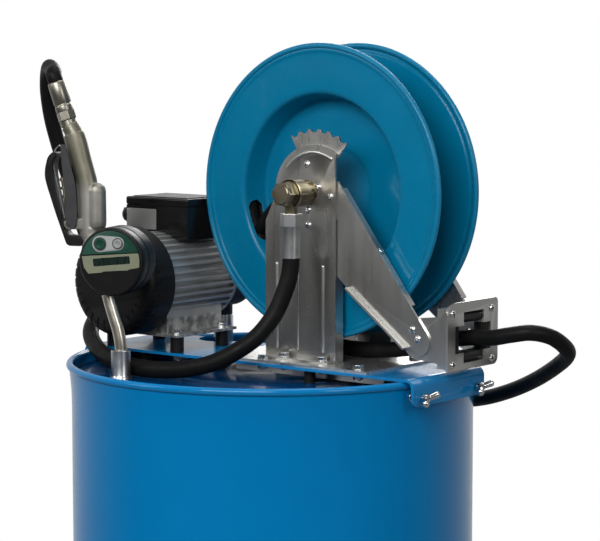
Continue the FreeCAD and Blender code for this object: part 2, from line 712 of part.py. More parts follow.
def rewind_spring():
    """Flat spiral spring."""
    inner, outer, turns, strip_thick = 24.0, 110.0, 9, 1.2
    sides = []
    for offset in (0.0, strip_thick):
        points = []
        steps = turns * 12
        for k in range(steps + 1):
            turn = 2 * math.pi * turns * k / steps
            radius = inner + (outer - inner) * k / steps + offset
            points.append(Vector(REEL_X + radius * math.cos(turn), 50, REEL_Z + radius * math.sin(turn)))
        curve = Part.BSplineCurve()
        curve.interpolate(points)
        sides.append((curve.toShape(), points[0], points[-1]))
    caps = [Part.makeLine(sides[0][k], sides[1][k]) for k in (1, 2)]
    wire = Part.Wire(Part.__sortEdges__([sides[0][0], caps[1], sides[1][0], caps[0]]))
    return Part.Face(wire).extrude(Vector(0, 34, 0))


def latch_pawl():
    """Pawl on the far column that can stop the ratchet; modelled lifted clear of it."""
    px, pz = PAWL_PIVOT
    boss = rod((px, 88.6, pz), Y_AXIS, 3, 8)
    steps = [
        (px - 16, pz + 9), (px - 14, pz + 3), (px - 4, pz - 7),
        (px + 22, pz - 6), (px + 22, pz + 2), (px - 2, pz + 8),
    ]
    lever = sheet_xz(steps, 88.6, 91.6)
    return join([boss, lever]).cut(rod((px, 80, pz), Y_AXIS, 20, 3.05))


def pawl_pin():
    """Pin for the pawl, carried by the far arm."""
    px, pz = PAWL_PIVOT
    pin = rod((px, 88.3, pz), Y_AXIS, FAR_ARM_FACE - 88.3, 3.0)
    collar = rod((px, 92.2, pz), Y_AXIS, FAR_ARM_FACE - 92.2, 6.0)
    return join([pin, collar])


def swivel_body():
    """Brass swivel on the axle's near end with a hexagon cap and a port pointing down."""
    cap = hexagon((REEL_X, SWIVEL_END, REEL_Z), Y_AXIS, 18, 17)
    collar = rod((REEL_X, SWIVEL_END + 18, REEL_Z), Y_AXIS, 4, 20)
    body = rod((REEL_X, SWIVEL_END + 22, REEL_Z), Y_AXIS, 22, 18.5)
    neck = rod((REEL_X, SWIVEL_END + 44, REEL_Z), Y_AXIS, COLUMN_FACE - 0.5 - SWIVEL_END - 44, 15)
    port = rod((REEL_X, SWIVEL_PORT_Y, REEL_Z), -Z_AXIS, 27, 9)
    joined = join([cap, collar, body, neck, port])
    bore_start = SWIVEL_END + 5.5
    bore = rod((REEL_X, bore_start, REEL_Z), Y_AXIS, 60, AXLE_RADIUS + RUNNING_CLEARANCE)
    channel = rod((REEL_X, SWIVEL_PORT_Y, REEL_Z), -Z_AXIS, 40, 6)
    return joined.cut([bore, channel])


# ---------------------------------------------------------------- hoses and fittings

def supply_points():
    """Middle line of the hose from the swivel along the drum's lid to the pump outlet."""
    return [
        (REEL_X, SWIVEL_PORT_Y, 153), (83, -70, 118), (73, -82, 80), (57, -100, 48), (36, -122, 26),
        (8, -140, 9), (-28, -152, -1), (-72, -157, -6), (-122, -157.5, -6.5), (-180, -146, -2),
        (-230, -123, 9), (-268, -96, 24), (-287, -64, 42), (-287, -30, 66), (-282, 0, 94),
        (-275, 28, 118), (-272, 50, 131),
    ]


def delivery_points():
    """Middle line of the hose from the reel's outer layer through the guide to the nozzle."""
    points = []
    for degrees in (150, 161, 172, 183, 194, 205):
        turn = math.radians(degrees)
        x = REEL_X + OUTER_LAYER * math.cos(turn)
        z = REEL_Z + OUTER_LAYER * math.sin(turn)
        points.append((x, REEL_MIDDLE, z))
    points += [
        (-42, 42, 119), (-10, 42, 69), (32, 42, 34), (84, 41, 20.5), (150, 40, 20), (215, 40, 28),
        (268, 40, 43), (317, 40, 51), (348, 40, 53), (376, 42, 59), (402, 52, 63), (418, 74, 57),
        (423, 100, 43), (416, 124, 28), (385, 152, 8), (324, 192, -23), (259, 225, -50), (185, 256, -73),
        (100, 299, -88), (0, 315, -93), (-105, 302, -88), (-195, 256, -72), (-262, 200, -38),
        (-306, 142, 4), (-324, 85, 44), (-325, 25, 80), (-313, -25, 115), (-296, -65, 148),
        (-281, -95, 178), (-272, -115, 208), (-271, -131, 245), (-275, -147, 291), (-279, -160, 337),
        (-275, -172, 376), (-263, -184, 402), (-243, -200, 415), (-222, -213, 410),
    ]
    rise = INLET_TOP[1] - INLET_FOOT[1]
    slope = (INLET_TOP[0] - INLET_FOOT[0]) / rise
    for above in (10.0, 0.0):
        points.append(nozzle_point(INLET_TOP[0] + slope * above, 0, INLET_TOP[1] + above))
    return points


def split_delivery_hose():
    """The delivery hose in two: up to the joint that the nozzle's lift opens, and from there on."""
    points = delivery_points()
    curve = smooth_curve(points)
    opening = curve.parameter(Vector(*HOSE_OPENING))
    gap = 0.0002 * (curve.LastParameter - curve.FirstParameter)
    lower = curve.copy()
    lower.segment(curve.FirstParameter, opening - gap)
    upper = curve.copy()
    upper.segment(opening, curve.LastParameter)
    return hose_along(lower, HOSE_RADIUS), hose_along(upper, HOSE_RADIUS)


def ferrule(start, end, radius, nut_length):
    """Crimped ferrule with a hexagon nut at its end."""
    along = Vector(*end) - Vector(*start)
    direction = Vector(along).normalize()
    sleeve = rod_between(start, end, radius)
    nut = hexagon(Vector(*end), direction, nut_length, radius + 3)
    return join([sleeve, nut])


def pipe_fittings():
    """Fittings that stay put: swivel ferrule, pump outlet elbow with ferrule, bung adaptor, vent plug."""
    at_swivel = ferrule((REEL_X, SWIVEL_PORT_Y, 153.1), (REEL_X, SWIVEL_PORT_Y, 197), SUPPLY_RADIUS + 1, 17.9)
    pipe = rod((PORT_END, BUNG[1], OUTLET_Z), -X_AXIS, PORT_END + 272, 11)
    corner = Part.makeSphere(11, Vector(-272, BUNG[1], OUTLET_Z))
    leg = rod_between((-272, BUNG[1], OUTLET_Z), (-272, 72, OUTLET_Z), 11)
    sleeve = rod_between((-272, 73, OUTLET_Z), (-272, 50.2, 131.2), SUPPLY_RADIUS + 1)
    elbow = join([pipe, corner, leg, sleeve])
    flange = ring((BUNG[0], BUNG[1], -HEAD_DEPTH), Z_AXIS, 7, 34, 15.2)
    neck = ring((BUNG[0], BUNG[1], -HEAD_DEPTH - 5), Z_AXIS, 5, BUNG_HOLE - 0.1, 15.2)
    plug = rod((VENT[0], VENT[1], -HEAD_DEPTH), Z_AXIS, 6, 17)
    plug_neck = rod((VENT[0], VENT[1], -HEAD_DEPTH - 5), Z_AXIS, 5, VENT_HOLE - 0.1)
    return [at_swivel, elbow, join([flange, neck]), join([plug, plug_neck])]


# ---------------------------------------------------------------- motor

def motor_axis_point(y):
    """A point of the motor's axis."""
    return (MOTOR_X, y, MOTOR_Z)


def motor_housing():
    """Finned aluminium body with its cast foot."""
    corners = []
    pitch = 2 * math.pi / FIN_COUNT
    for k in range(FIN_COUNT):
        for fraction, depth in ((0.0, 0), (0.30, 0), (0.36, 1), (0.94, 1)):
            turn = (k + fraction) * pitch
            reach = MOTOR_RADIUS - depth * FIN_DEPTH
            x = MOTOR_X + reach * math.cos(turn)
            z = MOTOR_Z + reach * math.sin(turn)
            corners.append(Vector(x, MOTOR_FRONT, z))
    face = Part.Face(Part.makePolygon(corners + corners[:1]))
    body = face.extrude(Vector(0, MOTOR_BACK - MOTOR_FRONT, 0))
    foot_top = FOOT_BOTTOM + FOOT_THICK
    foot = block((-262, -114), (-79, 55), (FOOT_BOTTOM, foot_top))
    saddle = block((-238, -138), (-72, 48), (foot_top, 66))
    housing = join([body, foot, saddle])
    bore = rod(motor_axis_point(MOTOR_FRONT - 1), Y_AXIS, 200, MOTOR_BORE)
    housing = housing.cut(bore)
    return drilled(housing, MOTOR_BOLTS, 4.5)


def motor_end_shields():
    """Front and rear shields that carry the bearings."""
    front = ring(motor_axis_point(MOTOR_FRONT), Y_AXIS, 9, MOTOR_BORE - 0.05, 20)
    rear = ring(motor_axis_point(MOTOR_BACK - 10), Y_AXIS, 10, MOTOR_BORE - 0.05, 20)
    flange = ring(motor_axis_point(MOTOR_BACK), Y_AXIS, PUMP_FRONT - MOTOR_BACK, 66, SHAFT_RADIUS + 0.5)
    return [front, join([rear, flange])]


def stator():
    """Stator core with its winding heads."""
    core = ring(motor_axis_point(-50), Y_AXIS, 80, MOTOR_BORE - 0.05, 35.2)
    front = ring(motor_axis_point(-64), Y_AXIS, 14, 52, 38)
    rear = ring(motor_axis_point(30), Y_AXIS, 14, 52, 38)
    return join([core, front, rear])


def rotor_shaft():
    """Rotor core on its shaft, which reaches from the fan to the drive gear."""
    step = PUMP_FRONT - 0.5
    middle = rod(motor_axis_point(-92), Y_AXIS, step + 92, SHAFT_RADIUS)
    core = rod(motor_axis_point(-50), Y_AXIS, 80, 34.7)
    front = rod(motor_axis_point(-128), Y_AXIS, 36, SHAFT_END_RADIUS)
    rear = rod(motor_axis_point(step), Y_AXIS, GEAR_BACK - step + 4, SHAFT_END_RADIUS)
    return join([middle, core, front, rear])


def cooling_fan():
    """Hub with radial blades."""
    hub = rod(motor_axis_point(-126), Y_AXIS, 30, 17)
    plate = rod(motor_axis_point(-99), Y_AXIS, 3, 40)
    blades = []
    for k in range(7):
        blade = block((MOTOR_X + 12, MOTOR_X + 60), (-122, -97), (MOTOR_Z - 1.5, MOTOR_Z + 1.5))
        blade.rotate(Vector(*motor_axis_point(0)), Y_AXIS, 360 * k / 7)
        blades.append(blade)
    fan = join([hub, plate] + blades)
    return fan.cut(rod(motor_axis_point(-130), Y_AXIS, 40, SHAFT_END_RADIUS + 0.02))


def fan_cover():
    """Moulded cover over the fan with slanted slots around its front edge."""
    depth = MOTOR_FRONT - FAN_COVER_FRONT
    steps = [
        (0, 0), (FAN_COVER_RADIUS - 16, 0),
        ((FAN_COVER_RADIUS - 4.7, 4.7), (FAN_COVER_RADIUS, 16)),
        (FAN_COVER_RADIUS, depth), (FAN_COVER_RADIUS - 3, depth), (FAN_COVER_RADIUS - 3, 16),
        ((FAN_COVER_RADIUS - 6.8, 6.8), (FAN_COVER_RADIUS - 16, 3)), (0, 3),
    ]
    cover = turned(steps, motor_axis_point(FAN_COVER_FRONT), Y_AXIS, X_AXIS)
    slots = []
    for k in range(30):
        x_range = (MOTOR_X + FAN_COVER_RADIUS - 22, MOTOR_X + FAN_COVER_RADIUS + 5)
        slot = block(x_range, (FAN_COVER_FRONT - 2, FAN_COVER_FRONT + 24), (MOTOR_Z - 1.8, MOTOR_Z + 1.8))
        slot.rotate(Vector(MOTOR_X + FAN_COVER_RADIUS, FAN_COVER_FRONT + 14, MOTOR_Z), X_AXIS, 18)
        slot.rotate(Vector(*motor_axis_point(0)), Y_AXIS, 12 * k)
        slots.append(slot)
    return cover.cut(slots)


def bearings():
    """Two ball bearings of the motor and the two bushes of the reel axle."""
    pieces = []
    for y in (MOTOR_FRONT, MOTOR_BACK - 10):
        pieces.append(ring(motor_axis_point(y), Y_AXIS, 9, 19.95, SHAFT_RADIUS + 0.03))
    inner = AXLE_RADIUS + RUNNING_CLEARANCE
    far_face = FAR_ARM_FACE + 2 * SHEET
    pieces.append(ring((REEL_X, COLUMN_FACE, REEL_Z), Y_AXIS, 10, BUSH_RADIUS, inner))
    pieces.append(ring((REEL_X, 50, REEL_Z), Y_AXIS, far_face - 50, BUSH_RADIUS, inner))
    return pieces


def terminal_box():
    """Moulded box on the motor with the capacitor compartment and the cable gland."""
    high = BOX_Z[1] - BOX_LID
    outside = block(BOX_X, BOX_Y, (BOX_Z[0] - 8, high))
    inside = block(
        (BOX_X[0] + 3, BOX_X[1] - 3), (BOX_Y[0] + 3, BOX_Y[1] - 3), (MOTOR_Z + MOTOR_RADIUS + 4, high),
    )
    gland = rod((MOTOR_X - 20, BOX_Y[1] - 2, 190), Y_AXIS, 18, 9)
    box = join([outside.cut(inside), gland])
    box = box.cut(rod(motor_axis_point(-150), Y_AXIS, 300, MOTOR_RADIUS + 0.3))
    return box.cut(rod((BOX_X[0] - 5, -20, 196), X_AXIS, 12, 5.05))


def terminal_box_lid():
    """Flat lid."""
    lid = block((BOX_X[0] - 1, BOX_X[1] + 1), (BOX_Y[0] - 1, BOX_Y[1] + 1), (BOX_Z[1] - BOX_LID, BOX_Z[1]))
    return lid.makeFillet(2.0, [e for e in lid.Edges if e.CenterOfMass.z > BOX_Z[1] - 0.1])


def switch_knob():
    """Domed rotary switch knob on the box's left side."""
    steps = [(0, 0), (12, 0), (12, 8), ((8.5, 14), (0, 16))]
    dome = turned(steps, (BOX_X[0] - 0.2, -20, 196), -X_AXIS, Y_AXIS)
    stem = rod((BOX_X[0] - 1, -20, 196), X_AXIS, 6, 5)
    grip = block((BOX_X[0] - 18, BOX_X[0] - 10), (-22, -18), (186, 206))
    return join([dome, stem, grip])


def rubber_mounts():
    """Four rubber spacers below the motor's foot and four buffers below the plate."""
    pieces = []
    for x, y in MOTOR_BOLTS:
        pieces.append(ring((x, y, PLATE_THICK), Z_AXIS, FOOT_BOTTOM - PLATE_THICK, 10, 4.5))
    for x, y in BUFFERS:
        pieces.append(rod((x, y, -HEAD_DEPTH), Z_AXIS, HEAD_DEPTH, 8))
    return pieces


# ---------------------------------------------------------------- pump

def gear(centre_x, phase):
    """Involute gear with room for backlash, thick along Y."""
    pitch_radius = GEAR_CENTRES / 2
    base = pitch_radius * math.cos(GEAR_ANGLE)
    tip = pitch_radius + 0.95 * GEAR_MODULE
    root = pitch_radius - 1.25 * GEAR_MODULE
    half_tooth = math.pi / (2 * GEAR_TEETH) - GEAR_BACKLASH / 2 / pitch_radius
    at_pitch = math.tan(GEAR_ANGLE) - GEAR_ANGLE
    flank = [(root, half_tooth + at_pitch)]
    steps = 6
    for k in range(steps + 1):
        radius = base + (tip - base) * k / steps
        pressure = math.acos(min(1.0, base / radius))
        flank.append((radius, half_tooth + at_pitch - (math.tan(pressure) - pressure)))
    corners = []
    for tooth in range(GEAR_TEETH):
        middle = phase + 2 * math.pi * tooth / GEAR_TEETH
        left = [(radius, middle - angle) for radius, angle in flank]
        right = [(radius, middle + angle) for radius, angle in reversed(flank)]
        for radius, angle in left + right:
            x = centre_x + radius * math.cos(angle)
            z = MOTOR_Z + radius * math.sin(angle)
            corners.append(Vector(x, GEAR_FRONT + 0.1, z))
    face = Part.Face(Part.makePolygon(corners + corners[:1]))
    return face.extrude(Vector(0, GEAR_BACK - GEAR_FRONT - 0.2, 0))


def drive_gear():
    """Gear on the motor shaft."""
    return gear(MOTOR_X, 0.0).cut(rod(motor_axis_point(70), Y_AXIS, 50, SHAFT_END_RADIUS + 0.01))


def driven_gear():
    """Gear with its own stub shaft."""
    centre = MOTOR_X + GEAR_CENTRES
    stub = rod((centre, GEAR_FRONT - 6, MOTOR_Z), Y_AXIS, GEAR_BACK - GEAR_FRONT + 12, 6)
    return join([gear(centre, math.pi / GEAR_TEETH), stub])


def gear_chambers():
    """Cutters for the two gear chambers."""
    chamber = GEAR_CENTRES / 2 + 0.95 * GEAR_MODULE + 0.08
    cutters = []
    for x in (MOTOR_X, MOTOR_X + GEAR_CENTRES):
        cutters.append(rod((x, GEAR_FRONT, MOTOR_Z), Y_AXIS, GEAR_BACK - GEAR_FRONT, chamber))
    return cutters


def pump_body():
    """Pump housing with gear chambers, suction boss and outlet boss."""
    body = rod((MOTOR_X, PUMP_FRONT, MOTOR_Z), Y_AXIS, GEAR_BACK - PUMP_FRONT, PUMP_RADIUS)
    boss = rod((BUNG[0], BUNG[1], MOTOR_Z), -Z_AXIS, MOTOR_Z - 42, 13.9)
    outlet = rod((MESH_X, BUNG[1], OUTLET_Z), -X_AXIS, MESH_X - PORT_END, 13.9)
    joined = join([body, boss, outlet])
    cutters = gear_chambers()
    cutters.append(rod(motor_axis_point(PUMP_FRONT), Y_AXIS, 20, SHAFT_END_RADIUS + 0.1))
    cutters.append(rod((MOTOR_X + GEAR_CENTRES, GEAR_FRONT - 7, MOTOR_Z), Y_AXIS, 8, 6.06))
    cutters.append(rod((MESH_X, BUNG[1], MOTOR_Z), -Z_AXIS, 80, 9))
    cutters.append(rod((MESH_X, BUNG[1], MOTOR_Z), Z_AXIS, OUTLET_Z - MOTOR_Z, 7))
    cutters.append(rod((MESH_X, BUNG[1], OUTLET_Z), -X_AXIS, 80, 7))
    return joined.cut(cutters)


def pump_cover():
    """Rear cover of the pump."""
    cover = rod((MOTOR_X, GEAR_BACK, MOTOR_Z), Y_AXIS, PUMP_BACK - GEAR_BACK, PUMP_RADIUS)
    shaft = rod(motor_axis_point(GEAR_BACK), Y_AXIS, 6, SHAFT_END_RADIUS + 0.1)
    stub = rod((MOTOR_X + GEAR_CENTRES, GEAR_BACK, MOTOR_Z), Y_AXIS, 8, 6.06)
    return cover.cut([shaft, stub])


def suction_tube():
    """Tube from the pump through the large bung to a strainer above the drum's bottom."""
    start = (BUNG[0], BUNG[1], 42)
    length = DRUM_HEIGHT + 42 - 40
    tube = ring(start, -Z_AXIS, length, 15, 12)
    strainer = ring((BUNG[0], BUNG[1], 42 - length), Z_AXIS, 45, 22, 14.5)
    slots = []
    for k in range(6):
        slot = block((0, 40), (-2, 2), (48 - length, 80 - length))
        slot.rotate(Vector(0, 0, 0), Z_AXIS, 60 * k)
        slot.translate(Vector(BUNG[0], BUNG[1], 0))
        slots.append(slot)
    return join([tube, strainer]).cut(slots)


# ---------------------------------------------------------------- nozzle

def uz_plate(steps, w_low, w_high):
    """A plate in the nozzle's own frame from (u, z) steps, thick along w."""
    return sheet_xz(steps, -w_high, -w_low)


def nozzle_holder():
    """Sleeve on the drum's lid that holds the spout."""
    outer = rod((HOLDER[0], HOLDER[1], -HEAD_DEPTH), Z_AXIS, HEAD_DEPTH + 21, 13.8)
    return outer.cut(rod((HOLDER[0], HOLDER[1], -HEAD_DEPTH + 2), Z_AXIS, 60, SPOUT_RADIUS + 0.8))


def meter_cylinder(w_low, w_high, radius):
    """A cylinder on the meter's axis."""
    return rod((METER_CENTRE[0], -w_low, METER_CENTRE[1]), -Y_AXIS, w_high - w_low, radius)


def nozzle_body():
    """Cast handle, valve block and neck down to the meter."""
    steps = [
        (-86, 327), (-75, 305), (-70, 280), (-63, 250), (-62, 210), (-62, 168), (-28, 168), (-28, 194),
        (-23.6, 204), (-27.7, 248), (-36, 256), (-46, 286), (-60, 335),
    ]
    body = uz_plate(steps, -BODY_HALF, BODY_HALF)
    lug = rod((TRIGGER_PIVOT[0], BODY_HALF - 0.1, TRIGGER_PIVOT[1]), -Y_AXIS, 2 * BODY_HALF - 0.2, 8)
    web = uz_plate([(-71, 189), (-60, 189), (-60, 205), (-71, 205)], 0.1 - BODY_HALF, BODY_HALF - 0.1)
    joined = join([body, lug, web])
    joined = joined.cut(meter_cylinder(-40, 40, METER_RADIUS + 0.05))
    return joined.cut(rod((TRIGGER_PIVOT[0], 20, TRIGGER_PIVOT[1]), -Y_AXIS, 40, 3.05))


def nozzle_spout():
    """Bent tube from the meter into the holder."""
    points = [(0, 0, -16), (0, 0, 5), (0, 0, 26), (-3.2, 0, 46), (-10, 0, 68), (-15.5, 0, 86), (-19, 0, 97)]
    tube = swept_hose(points, SPOUT_RADIUS)
    return tube.cut(meter_cylinder(-40, 40, METER_RADIUS + 0.05))


def nozzle_ferrule():
    """Inlet swivel, hexagon and crimped ferrule at the handle's top."""
    foot = Vector(INLET_FOOT[0], 0, INLET_FOOT[1])
    top = Vector(INLET_TOP[0], 0, INLET_TOP[1])
    along = Vector(top - foot).normalize()
    start = foot + along * 2
    swivel = rod(start, along, 10, 11.5)
    nut = hexagon(start + along * 9, along, 15, 13.5)
    sleeve = rod(start + along * 22, along, (top - start).Length - 22.3, 12.2)
    return join([swivel, nut, sleeve])


def meter_body():
    """Round housing of the flow meter with pockets for its buttons."""
    body = meter_cylinder(METER_BACK, METER_FRONT, METER_RADIUS)
    pockets = []
    for u, z, radius in BUTTONS.values():
        pockets.append(rod((u, -METER_FRONT + 5, z), -Y_AXIS, 10, radius + 0.1))
    return body.cut(pockets)


def meter_face():
    """Thin face plate with openings for the buttons."""
    face = meter_cylinder(METER_FRONT, METER_FRONT + 1.5, METER_RADIUS - 3)
    holes = []
    for u, z, radius in BUTTONS.values():
        holes.append(rod((u, -METER_FRONT + 5, z), -Y_AXIS, 10, radius + 0.1))
    return face.cut(holes)


def meter_button(u, z, radius):
    """Round push button."""
    return rod((u, -METER_FRONT + 3, z), -Y_AXIS, 6, radius)


def trigger():
    """Forked lever that is squeezed towards the handle, with its pivot pin."""
    pu, pz = TRIGGER_PIVOT
    cheek = [
        (-87, 308), (-84, 268), (-79, 258), (-80.5, 228), (pu - 9, pz), ((pu, pz - 9), (pu + 9, pz)),
        (-65, 228), (-69, 250), (-74, 280), (-79, 308),
    ]
    pieces = []
    for w in (-15.6, 13.6):
        pieces.append(uz_plate(cheek, w, w + 2))
    pieces.append(uz_plate([(-86.4, 300), (-84, 268), (-81, 268), (-83.4, 300)], -15.6, 15.6))
    pieces.append(rod((pu, 16.5, pz), -Y_AXIS, 33, 3.0))
    return join(pieces)


def trigger_guard():
    """Moulded guard in front of the trigger, open at its upper end."""
    steps = [
        (-62.1, 168), (-76, 168), (-92.5, 211), (-105.5, 250), ((-108.5, 268), (-104, 290)),
        (-97, 297), (-90.5, 297), (-90.5, 291), (-95.5, 284), (-96, 270), (-93, 250), (-84, 214),
        (-81.8, 197), (-74, 181), (-62.1, 180),
    ]
    return uz_plate(steps, -11, 11)


def valve_stem():
    """Brass stem with collars that the trigger presses."""
    start = Vector(-77.5, 0, 209)
    end = Vector(-86, 0, 262)
    along = Vector(end - start).normalize()
    pieces = [rod(start, along, (end - start).Length, 2.6)]
    for distance in (24, 36, 48):
        pieces.append(rod(start + along * distance, along, 4, 4.2))
    foot = rod_between((-69, 0, 206.5), (-78.5, 0, 211.5), 2.2)
    stem = join(pieces + [foot])
    return stem.cut(nozzle_body())


# ---------------------------------------------------------------- fasteners

def hex_bolts():
    """Bolts with nuts through the base plate, the column feet and the motor's foot."""
    pieces = []
    for x, y in BASE_BOLTS:
        pieces += bolt(x, y, BASE_TOP, 0)
    for x, y in FOOT_BOLTS_FRONT + FOOT_BOLTS_BACK:
        pieces += bolt(x, y, BASE_TOP + SHEET, 0)
    for x, y in MOTOR_BOLTS:
        pieces += bolt(x, y, FOOT_BOTTOM + FOOT_THICK, 0)
    return pieces


def cross_head_screws():
    """Screws of the columns, arms and roller guide."""
    pieces = []
    for x, z in COLUMN_SCREWS:
        pieces.append(screw((x, COLUMN_FACE, z), Y_AXIS, 10))
    for x, z in ARM_SCREWS:
        pieces.append(screw((x, GUIDE_NEAR - SHEET, z), Y_AXIS, 10))
        pieces.append(screw((x, FAR_ARM_FACE + SHEET, z), -Y_AXIS, 10))
    for x, z in COLUMN_SCREWS[1:3]:
        pieces.append(screw((x, FAR_ARM_FACE + 2 * SHEET, z), -Y_AXIS, 7))
    for y, z in GUIDE_SCREWS:
        pieces.append(screw((GUIDE_FACE, y, z), -X_AXIS, 8))
    pieces.append(screw(EDGE_SCREW, EDGE_SCREW_AXIS, 8))
    return pieces


# ---------------------------------------------------------------- nodes

def write_nodes():
    """Builds and saves every node."""
    save("drum_shell", drum_shell())
    save("mounting_plate", mounting_plate())
    save("stiffener_channel", stiffener_channel())
    save("rubber_mounts", *rubber_mounts())
    for name, (side, y) in WING_SCREWS.items():
        save(name, wing_screw(side, y))
    save("reel_base_plate", reel_base_plate())
    save("near_column", near_column())
    save("far_column", far_column())
    save("near_arm", arm(GUIDE_NEAR - SHEET, (-27, -12), (-36, -24)))
    save("far_arm", join([arm(FAR_ARM_FACE, (97, 112), (97, 109)), pawl_pin()]))
    save("bearings", *bearings())
    save("hex_bolts", *hex_bolts())
    save("cross_head_screws", *cross_head_screws())
    save("roller_box", roller_box())
    save("roller_frame", roller_frame())
    for name, (start, axis, length) in roller_places().items():
        save(name, roller(start, axis, length))
    near_disc = reel_disc()
    far_disc = near_disc.mirror(Vector(0, REEL_MIDDLE, 0), Y_AXIS)
    save("reel_disc_near", near_disc.cut(hose_slot()))
    save("reel_disc_far", far_disc)
    save("reel_axle", reel_axle())
    save("inner_hose", inner_hose().cut(reel_axle()))
    save("hose_coil", *hose_coil())
    save("spring_case", spring_case())
    save("rewind_spring", rewind_spring())
    save("latch_pawl", latch_pawl())
    save("swivel_body", swivel_body())
    fittings = pipe_fittings()
    save("supply_hose", swept_hose(supply_points(), SUPPLY_RADIUS).cut(fittings[:2]))
    lower_hose, upper_hose = split_delivery_hose()
    save("delivery_hose", lower_hose)
    save("nozzle_hose", upper_hose.cut(nozzle_place(nozzle_ferrule())))
    save("pipe_fittings", *fittings)
    save("motor_housing", motor_housing())
    save("motor_end_shields", *motor_end_shields())
    save("stator", stator())
    save("rotor_shaft", rotor_shaft())
    save("cooling_fan", cooling_fan())
    save("fan_cover", fan_cover())
    save("terminal_box", terminal_box())
    save("terminal_box_lid", terminal_box_lid())
    save("switch_knob", switch_knob())
    save("pump_body", pump_body())
    save("pump_cover", pump_cover())
    save("drive_gear", drive_gear())
    save("driven_gear", driven_gear())
    save("suction_tube", suction_tube())
    save("nozzle_holder", nozzle_holder())
    save("nozzle_body", nozzle_place(nozzle_body()))
    save("nozzle_spout", nozzle_place(nozzle_spout()))
    save("nozzle_ferrule", nozzle_place(nozzle_ferrule()))
    save("meter_body", nozzle_place(meter_body()))
    save("meter_face", nozzle_place(meter_face()))
    for name, (u, z, radius) in BUTTONS.items():
        save(name, nozzle_place(meter_button(u, z, radius)))
    save("trigger", nozzle_place(trigger()))
    save("trigger_guard", nozzle_place(trigger_guard()))
    save("valve_stem", nozzle_place(valve_stem()))


os.makedirs("parts", exist_ok=True)
write_nodes()
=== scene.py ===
import json
import math

import bmesh
import bpy
from mathutils import Matrix, Vector
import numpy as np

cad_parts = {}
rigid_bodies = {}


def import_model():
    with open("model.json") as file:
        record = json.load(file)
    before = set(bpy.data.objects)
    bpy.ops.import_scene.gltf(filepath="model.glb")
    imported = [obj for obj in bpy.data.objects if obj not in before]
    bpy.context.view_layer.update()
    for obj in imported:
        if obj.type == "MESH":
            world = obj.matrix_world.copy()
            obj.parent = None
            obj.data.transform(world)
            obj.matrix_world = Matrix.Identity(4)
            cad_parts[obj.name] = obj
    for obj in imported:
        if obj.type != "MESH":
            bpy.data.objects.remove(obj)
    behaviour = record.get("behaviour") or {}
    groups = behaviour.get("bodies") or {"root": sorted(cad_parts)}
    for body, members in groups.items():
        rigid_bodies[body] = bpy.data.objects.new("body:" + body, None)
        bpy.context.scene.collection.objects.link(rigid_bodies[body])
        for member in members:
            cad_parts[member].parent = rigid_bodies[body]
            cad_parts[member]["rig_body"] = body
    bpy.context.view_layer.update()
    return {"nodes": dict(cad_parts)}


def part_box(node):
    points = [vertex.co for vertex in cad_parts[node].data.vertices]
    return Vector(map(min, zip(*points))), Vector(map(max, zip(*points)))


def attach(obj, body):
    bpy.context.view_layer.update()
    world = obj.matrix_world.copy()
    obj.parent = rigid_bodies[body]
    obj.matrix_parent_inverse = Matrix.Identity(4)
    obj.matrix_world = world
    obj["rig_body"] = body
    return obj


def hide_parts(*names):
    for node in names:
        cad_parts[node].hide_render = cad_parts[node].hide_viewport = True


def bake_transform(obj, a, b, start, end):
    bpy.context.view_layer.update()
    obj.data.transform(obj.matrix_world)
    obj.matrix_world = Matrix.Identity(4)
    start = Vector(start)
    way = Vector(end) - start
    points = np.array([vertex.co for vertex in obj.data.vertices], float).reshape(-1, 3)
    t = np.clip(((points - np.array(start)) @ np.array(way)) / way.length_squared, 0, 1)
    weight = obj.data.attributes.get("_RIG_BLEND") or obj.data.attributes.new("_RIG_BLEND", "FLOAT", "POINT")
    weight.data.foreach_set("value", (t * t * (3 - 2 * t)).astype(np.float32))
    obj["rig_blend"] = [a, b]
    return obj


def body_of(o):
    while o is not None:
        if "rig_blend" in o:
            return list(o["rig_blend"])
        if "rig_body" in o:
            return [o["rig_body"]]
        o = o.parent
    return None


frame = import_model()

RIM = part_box("drum_shell")[1].z


# ---------------- places

def station(x, y, z):
    """A point in metres from millimetres, with heights measured from the drum's rim."""
    return Vector((x / 1000, y / 1000, RIM + z / 1000))


def middle(node):
    """Centre of a CAD node's box."""
    low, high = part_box(node)
    return (low + high) / 2


HOLDER = middle("nozzle_holder")
NOZZLE_TURN = math.radians(21.5)
U_AXIS = Vector((math.cos(NOZZLE_TURN), math.sin(NOZZLE_TURN), 0))
W_AXIS = Vector((math.sin(NOZZLE_TURN), -math.cos(NOZZLE_TURN), 0))
X_AXIS = Vector((1, 0, 0))
Y_AXIS = Vector((0, 1, 0))
Z_AXIS = Vector((0, 0, 1))


def nozzle(u, w, z):
    """A point of the nozzle's own frame: u across, w to the front, z up, in millimetres."""
    base = Vector((HOLDER.x, HOLDER.y, RIM + z / 1000))
    return base + U_AXIS * (u / 1000) + W_AXIS * (w / 1000)


# ---------------- node materials

COLOUR_A, COLOUR_B, COLOUR_OUT = 6, 7, 2    # a Mix node's sockets for colours


